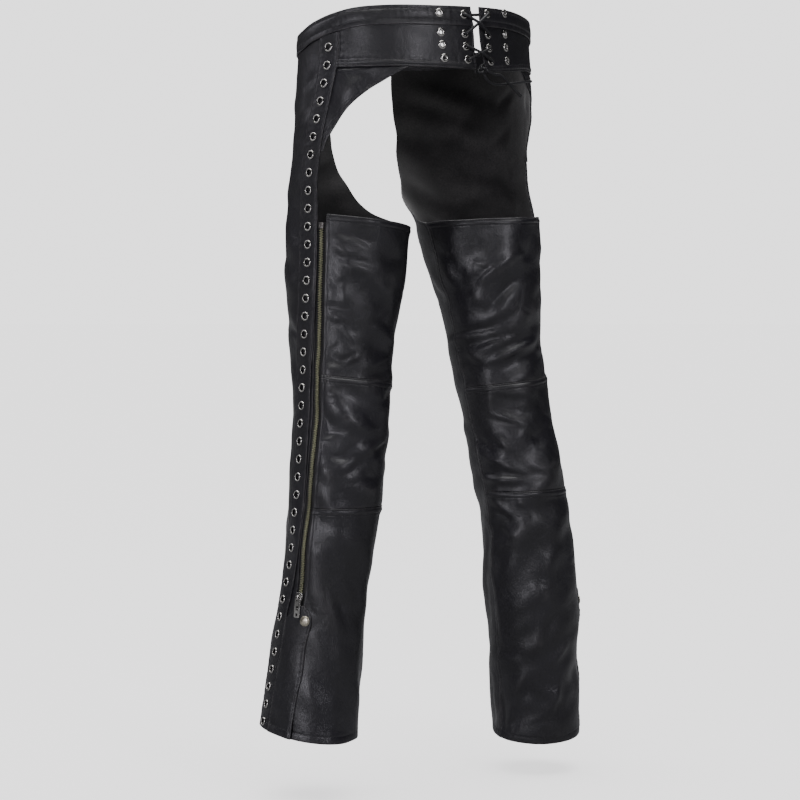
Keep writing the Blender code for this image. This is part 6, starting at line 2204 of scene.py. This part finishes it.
half = SLIDER_WIDTH / 2
SHIELD = [(half * x, SLIDER_LENGTH * y) for x, y in (
    (0.62, -0.5), (0.9, -0.43), (1.0, -0.3), (1.0, 0.02), (0.86, 0.2), (0.66, 0.4), (0.5, 0.5))]
SHIELD += [(-x, y) for x, y in reversed(SHIELD)]
BAIL = [(BAIL_OPENING / 2 + BAIL_WALL / 2, -0.0006), (BAIL_OPENING / 2 + BAIL_WALL / 2, BAIL_CLEAR * 0.72),
        (BAIL_OPENING * 0.36, BAIL_CLEAR + BAIL_WALL * 0.42), (0.0, BAIL_CLEAR + BAIL_WALL * 0.5)]
BAIL += [(-y, z) for y, z in reversed(BAIL[:-1])]
for side in SIDES:
    axes = leather_frame(side, leg_form, zip_angle(side, SLIDER_PLACE), SLIDER_PLACE,
                         MIRROR[side] * math.radians(PULL_LEAN))
    body = taken(plate("shield", SHIELD, slider_seat, plate_top, SHIELD_EDGE))
    step_plate = taken(plate("step", rounded_rectangle(*STEP_PLATE), plate_top - STEP_SUNK,
                             plate_top + STEP_RISE, STEP_EDGE))
    bail_route = smooth_route([Vector((0, y, plate_top + z)) for y, z in BAIL], BAIL_POINTS)
    bail = thong("bail", bail_route, BAIL_WIRE, sides=10)
    bail.data.transform(Matrix.Diagonal((BAIL_FLATNESS, 1.0, 1.0, 1.0)))
    slider = merged(f"zip_slider_{side}_metal",
                    [(body, axes), (step_plate, axes), (taken(bail), axes)], NICKEL)
    on_chaps(soft_edges(slider), "aged_nickel", f"zip_slider_{side}")

    hinge = axes @ Matrix.Translation((0, 0, plate_top + BAIL_CLEAR / 2))
    holes = [hanging_rectangle(*PULL_EYE, EYE_ROUND, PULL_BAR / 2)]
    holes += [hanging_rectangle(PULL_HOLE * 2, PULL_HOLE * 3, PULL_HOLE * HOLE_ROUND, along)
              for along in PULL_HOLES]
    outline = hanging_rectangle(PULL_WIDTH, PULL_LENGTH, PULL_ROUND, -PULL_BAR / 2)
    pull = plate("pull", outline, -PULL_THICKNESS / 2, PULL_THICKNESS / 2, PULL_EDGE, holes)
    outline = hanging_rectangle(*RAIL)
    rail = taken(plate("rail", outline, -PULL_THICKNESS / 2 - RAIL_UNDER, PULL_THICKNESS / 2 + RAIL_OVER,
                       RAIL_EDGE))
    pull = merged(f"zip_pull_{side}_metal", [(taken(pull), hinge), (rail, hinge)], NICKEL)
    on_chaps(soft_edges(pull), "aged_nickel", f"zip_pull_{side}", body=f"pull_{side}")

    width, length, height = ZIP_BOX
    middle = ZIP_START - length / 2
    turn = zip_angle(side, middle)
    top_axes = leather_frame(side, leg_form, turn, middle, fold=fold_at(side, leg_form, turn, middle))
    low = chain_low + SEAM_GAP
    cup = taken(plate("box", rounded_rectangle(width, length, BOX_ROUND), low, low + height, BOX_EDGE))
    top = low + height
    outline = rounded_rectangle(LUG_SIZE, length * 0.8, RIB_ROUND)
    rib = taken(plate("rib", outline, top - RIB_SUNK, top + RIB_SUNK, RIB_EDGE))
    outline = rounded_rectangle(LUG_SIZE, LUG_SIZE, RIB_ROUND)
    lug = taken(plate("lug", outline, top - RIB_SUNK, top + LUG_RISE, RIB_EDGE))
    studs = [(lug, top_axes @ Matrix.Translation((x, 0, 0))) for x in LUG_PLACES]
    box = merged(f"zip_box_{side}_metal", [(cup, top_axes), (rib, top_axes), *studs], BOX_METAL)
    on_chaps(soft_edges(box), "aged_nickel", f"zip_box_{side}")

# %% [markdown]
# ## Press stud
#
# The cap of a press stud is drawn from thin sheet: a low dome with a rolled rim. All of it is round, so
# one section turned about its axis makes it.

# %% Press stud of each flap
SNAP_RADIUS = 0.007
SNAP_HEIGHT = 0.0026
SNAP_ANGLE = 33.0
SNAP_PLACE = -0.7966
SNAP_SIDES, SNAP_SHARP = 32, 50.0
snap_seat = FLAP_LIFT + LEATHER + SEAM_GAP / 2
SNAP_SECTION = (
    (0.93, 0.0), (0.985, 0.1), (1.0, 0.26), (0.975, 0.42), (0.93, 0.5), (0.89, 0.52), (0.86, 0.6),
    (0.74, 0.78), (0.56, 0.9), (0.34, 0.97), (0.15, 0.995), (0.0, 1.0))
for side in SIDES:
    profile = [(0.0, snap_seat)] + [(SNAP_RADIUS * r, snap_seat + SNAP_HEIGHT * h) for r, h in SNAP_SECTION]
    axes = leather_frame(side, leg_form, math.radians(SNAP_ANGLE), SNAP_PLACE)
    cap = merged(f"snap_{side}_cap", [(lathe("cap", profile, SNAP_SIDES), axes)], SNAP_METAL)
    on_chaps(soft_edges(cap, SNAP_SHARP), "aged_nickel", f"snap_{side}")

# %% [markdown]
# ## Buckle and keeper
#
# The front stays out of sight, so it has the plainest closure: a frame of round bar, a prong, and a
# loop of the same leather. The frame leans on the belt's end, and the loop holds the tongue down.

# %% Buckle and keeper at the front
BUCKLE_HEIGHT = 0.035
BUCKLE_LENGTH = 0.025
BUCKLE_TILT = 8.0
BUCKLE_SEAT = 0.0005
BUCKLE_ROUND, BUCKLE_FLATNESS = 2.3, 0.96
PRONG_WIDTH = 0.0024
PRONG_THICKNESS = 0.0016
PRONG_POINTS = 26
# Columns: share of the buckle's length, then height over the bar in thicknesses, or drop below the far bar.
PRONG_ARCH = ((0.09, 0), (0.24, 1.4), (0.42, 2.3), (0.7, 2.1))
PRONG_TIP = ((0.96, 0), (1.06, 0.0002))
KEEPER_PLACE = 0.04
KEEPER_WIDTH = 0.009
KEEPER_MARGIN = 0.0008
KEEPER_SLACK = 0.0012
KEEPER_THICKNESS = 0.0012
KEEPER_SOFT = 0.0003
KEEPER_ROUND = 0.0012
KEEPER_RINGS = 7


def front_axes(lift):
    """Axes at the middle of the belt's front: X to the wearer's left, Y up, Z outwards."""
    middle = float(belt_top("left", np.array([FRONT_TURN]))[0]) - BELT_WIDTH / 2
    return (leather_frame("left", waist_form, FRONT_TURN, middle) @ Matrix.Rotation(math.pi, 4, "Z")
            @ Matrix.Translation((0, 0, lift)))


bar = BUCKLE_BAR
heel_lift = OVERLAY + BUCKLE_SEAT + bar
tilt = Matrix.Rotation(math.radians(BUCKLE_TILT), 4, "Y")
frame_axes = front_axes(heel_lift) @ tilt @ Matrix.Translation((-BUCKLE_LENGTH / 2, 0.0, 0.0))
outline = rounded_rectangle(BUCKLE_LENGTH, BUCKLE_HEIGHT - 2 * bar, BUCKLE_ROUND * bar, steps=8)
ring = bar_ring("buckle", outline, bar, bar * BUCKLE_FLATNESS)
buckle = merged("buckle_frame_metal", [(taken(ring), frame_axes)], NICKEL)
on_chaps(soft_edges(buckle), "aged_nickel", "buckle_frame")
far_top = BUCKLE_LENGTH * math.tan(math.radians(BUCKLE_TILT)) + bar + SEAM_GAP
prong_lifts = [(share, bar + rise * PRONG_THICKNESS) for share, rise in PRONG_ARCH]
prong_lifts += [(share, far_top - drop) for share, drop in PRONG_TIP]
prong_line = [Vector((-share * BUCKLE_LENGTH, 0, lift + PRONG_THICKNESS / 2)) for share, lift in prong_lifts]
rod = thong("prong", smooth_route(prong_line, PRONG_POINTS), PRONG_THICKNESS / 2)
rod.data.transform(Matrix.Diagonal((1.0, PRONG_WIDTH / PRONG_THICKNESS, 1.0, 1.0)))
prong = merged("buckle_prong_metal", [(taken(rod), front_axes(heel_lift))], NICKEL)
on_chaps(soft_edges(prong), "aged_nickel", "buckle_prong")


def keeper_ring(turn, grow):
    """The loop's inner outline, grown outwards, as points round the belt."""
    top = float(belt_top("left", np.array([turn]))[0]) + KEEPER_MARGIN + grow
    bottom = top - BELT_WIDTH - 2 * (KEEPER_MARGIN + grow)
    low = OVERLAY - KEEPER_SLACK - grow
    high = OVERLAY + 2 * BELT_THICKNESS + SEAM_GAP + KEEPER_SLACK + grow
    outline = rounded_rectangle(high - low, top - bottom, KEEPER_ROUND + grow)
    return [lifted("left", turn, (top + bottom) / 2 + y, (high + low) / 2 + x) for x, y in outline]


keeper_steps = [KEEPER_WIDTH * (k / (KEEPER_RINGS - 1) - 0.5) for k in range(KEEPER_RINGS)]
vertices = []
for grow in (0.0, KEEPER_THICKNESS):
    for step in keeper_steps:
        soft = KEEPER_SOFT if abs(step) > KEEPER_WIDTH * 0.49 else 0.0
        turn = FRONT_TURN + (KEEPER_PLACE + step) / FRONT_REACH
        vertices += keeper_ring(turn, grow - soft if grow else grow + soft)
ring_count = len(vertices) // (2 * len(keeper_steps))
ring_order = [*range(KEEPER_RINGS), *range(2 * KEEPER_RINGS - 1, KEEPER_RINGS - 1, -1), 0]
faces = between_rings(ring_order, ring_count)
keeper = closed_object("belt_keeper_loop", [tuple(v) for v in vertices], faces)
keeper.data.materials.append(LEATHER_FINISH)
on_chaps(soft_edges(keeper, 50.0), "leather", "belt_keeper")

# %% [markdown]
# ## Done
#
# The sizes before and after are written down, to compare the shells with the plain solids.

# %% Sizes
bpy.context.view_layer.update()
made_box = [list(corner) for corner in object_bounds()]
cad_size, made_size = (np.subtract(box[1], box[0]) for box in (cad_box, made_box))
print("size of the solids", np.round(cad_size, 4), "of the shells", np.round(made_size, 4))
meshes = [item.data for item in bpy.data.objects if item.type == "MESH"]
print("triangles in all:", sum(len(face.vertices) - 2 for mesh in meshes for face in mesh.polygons))
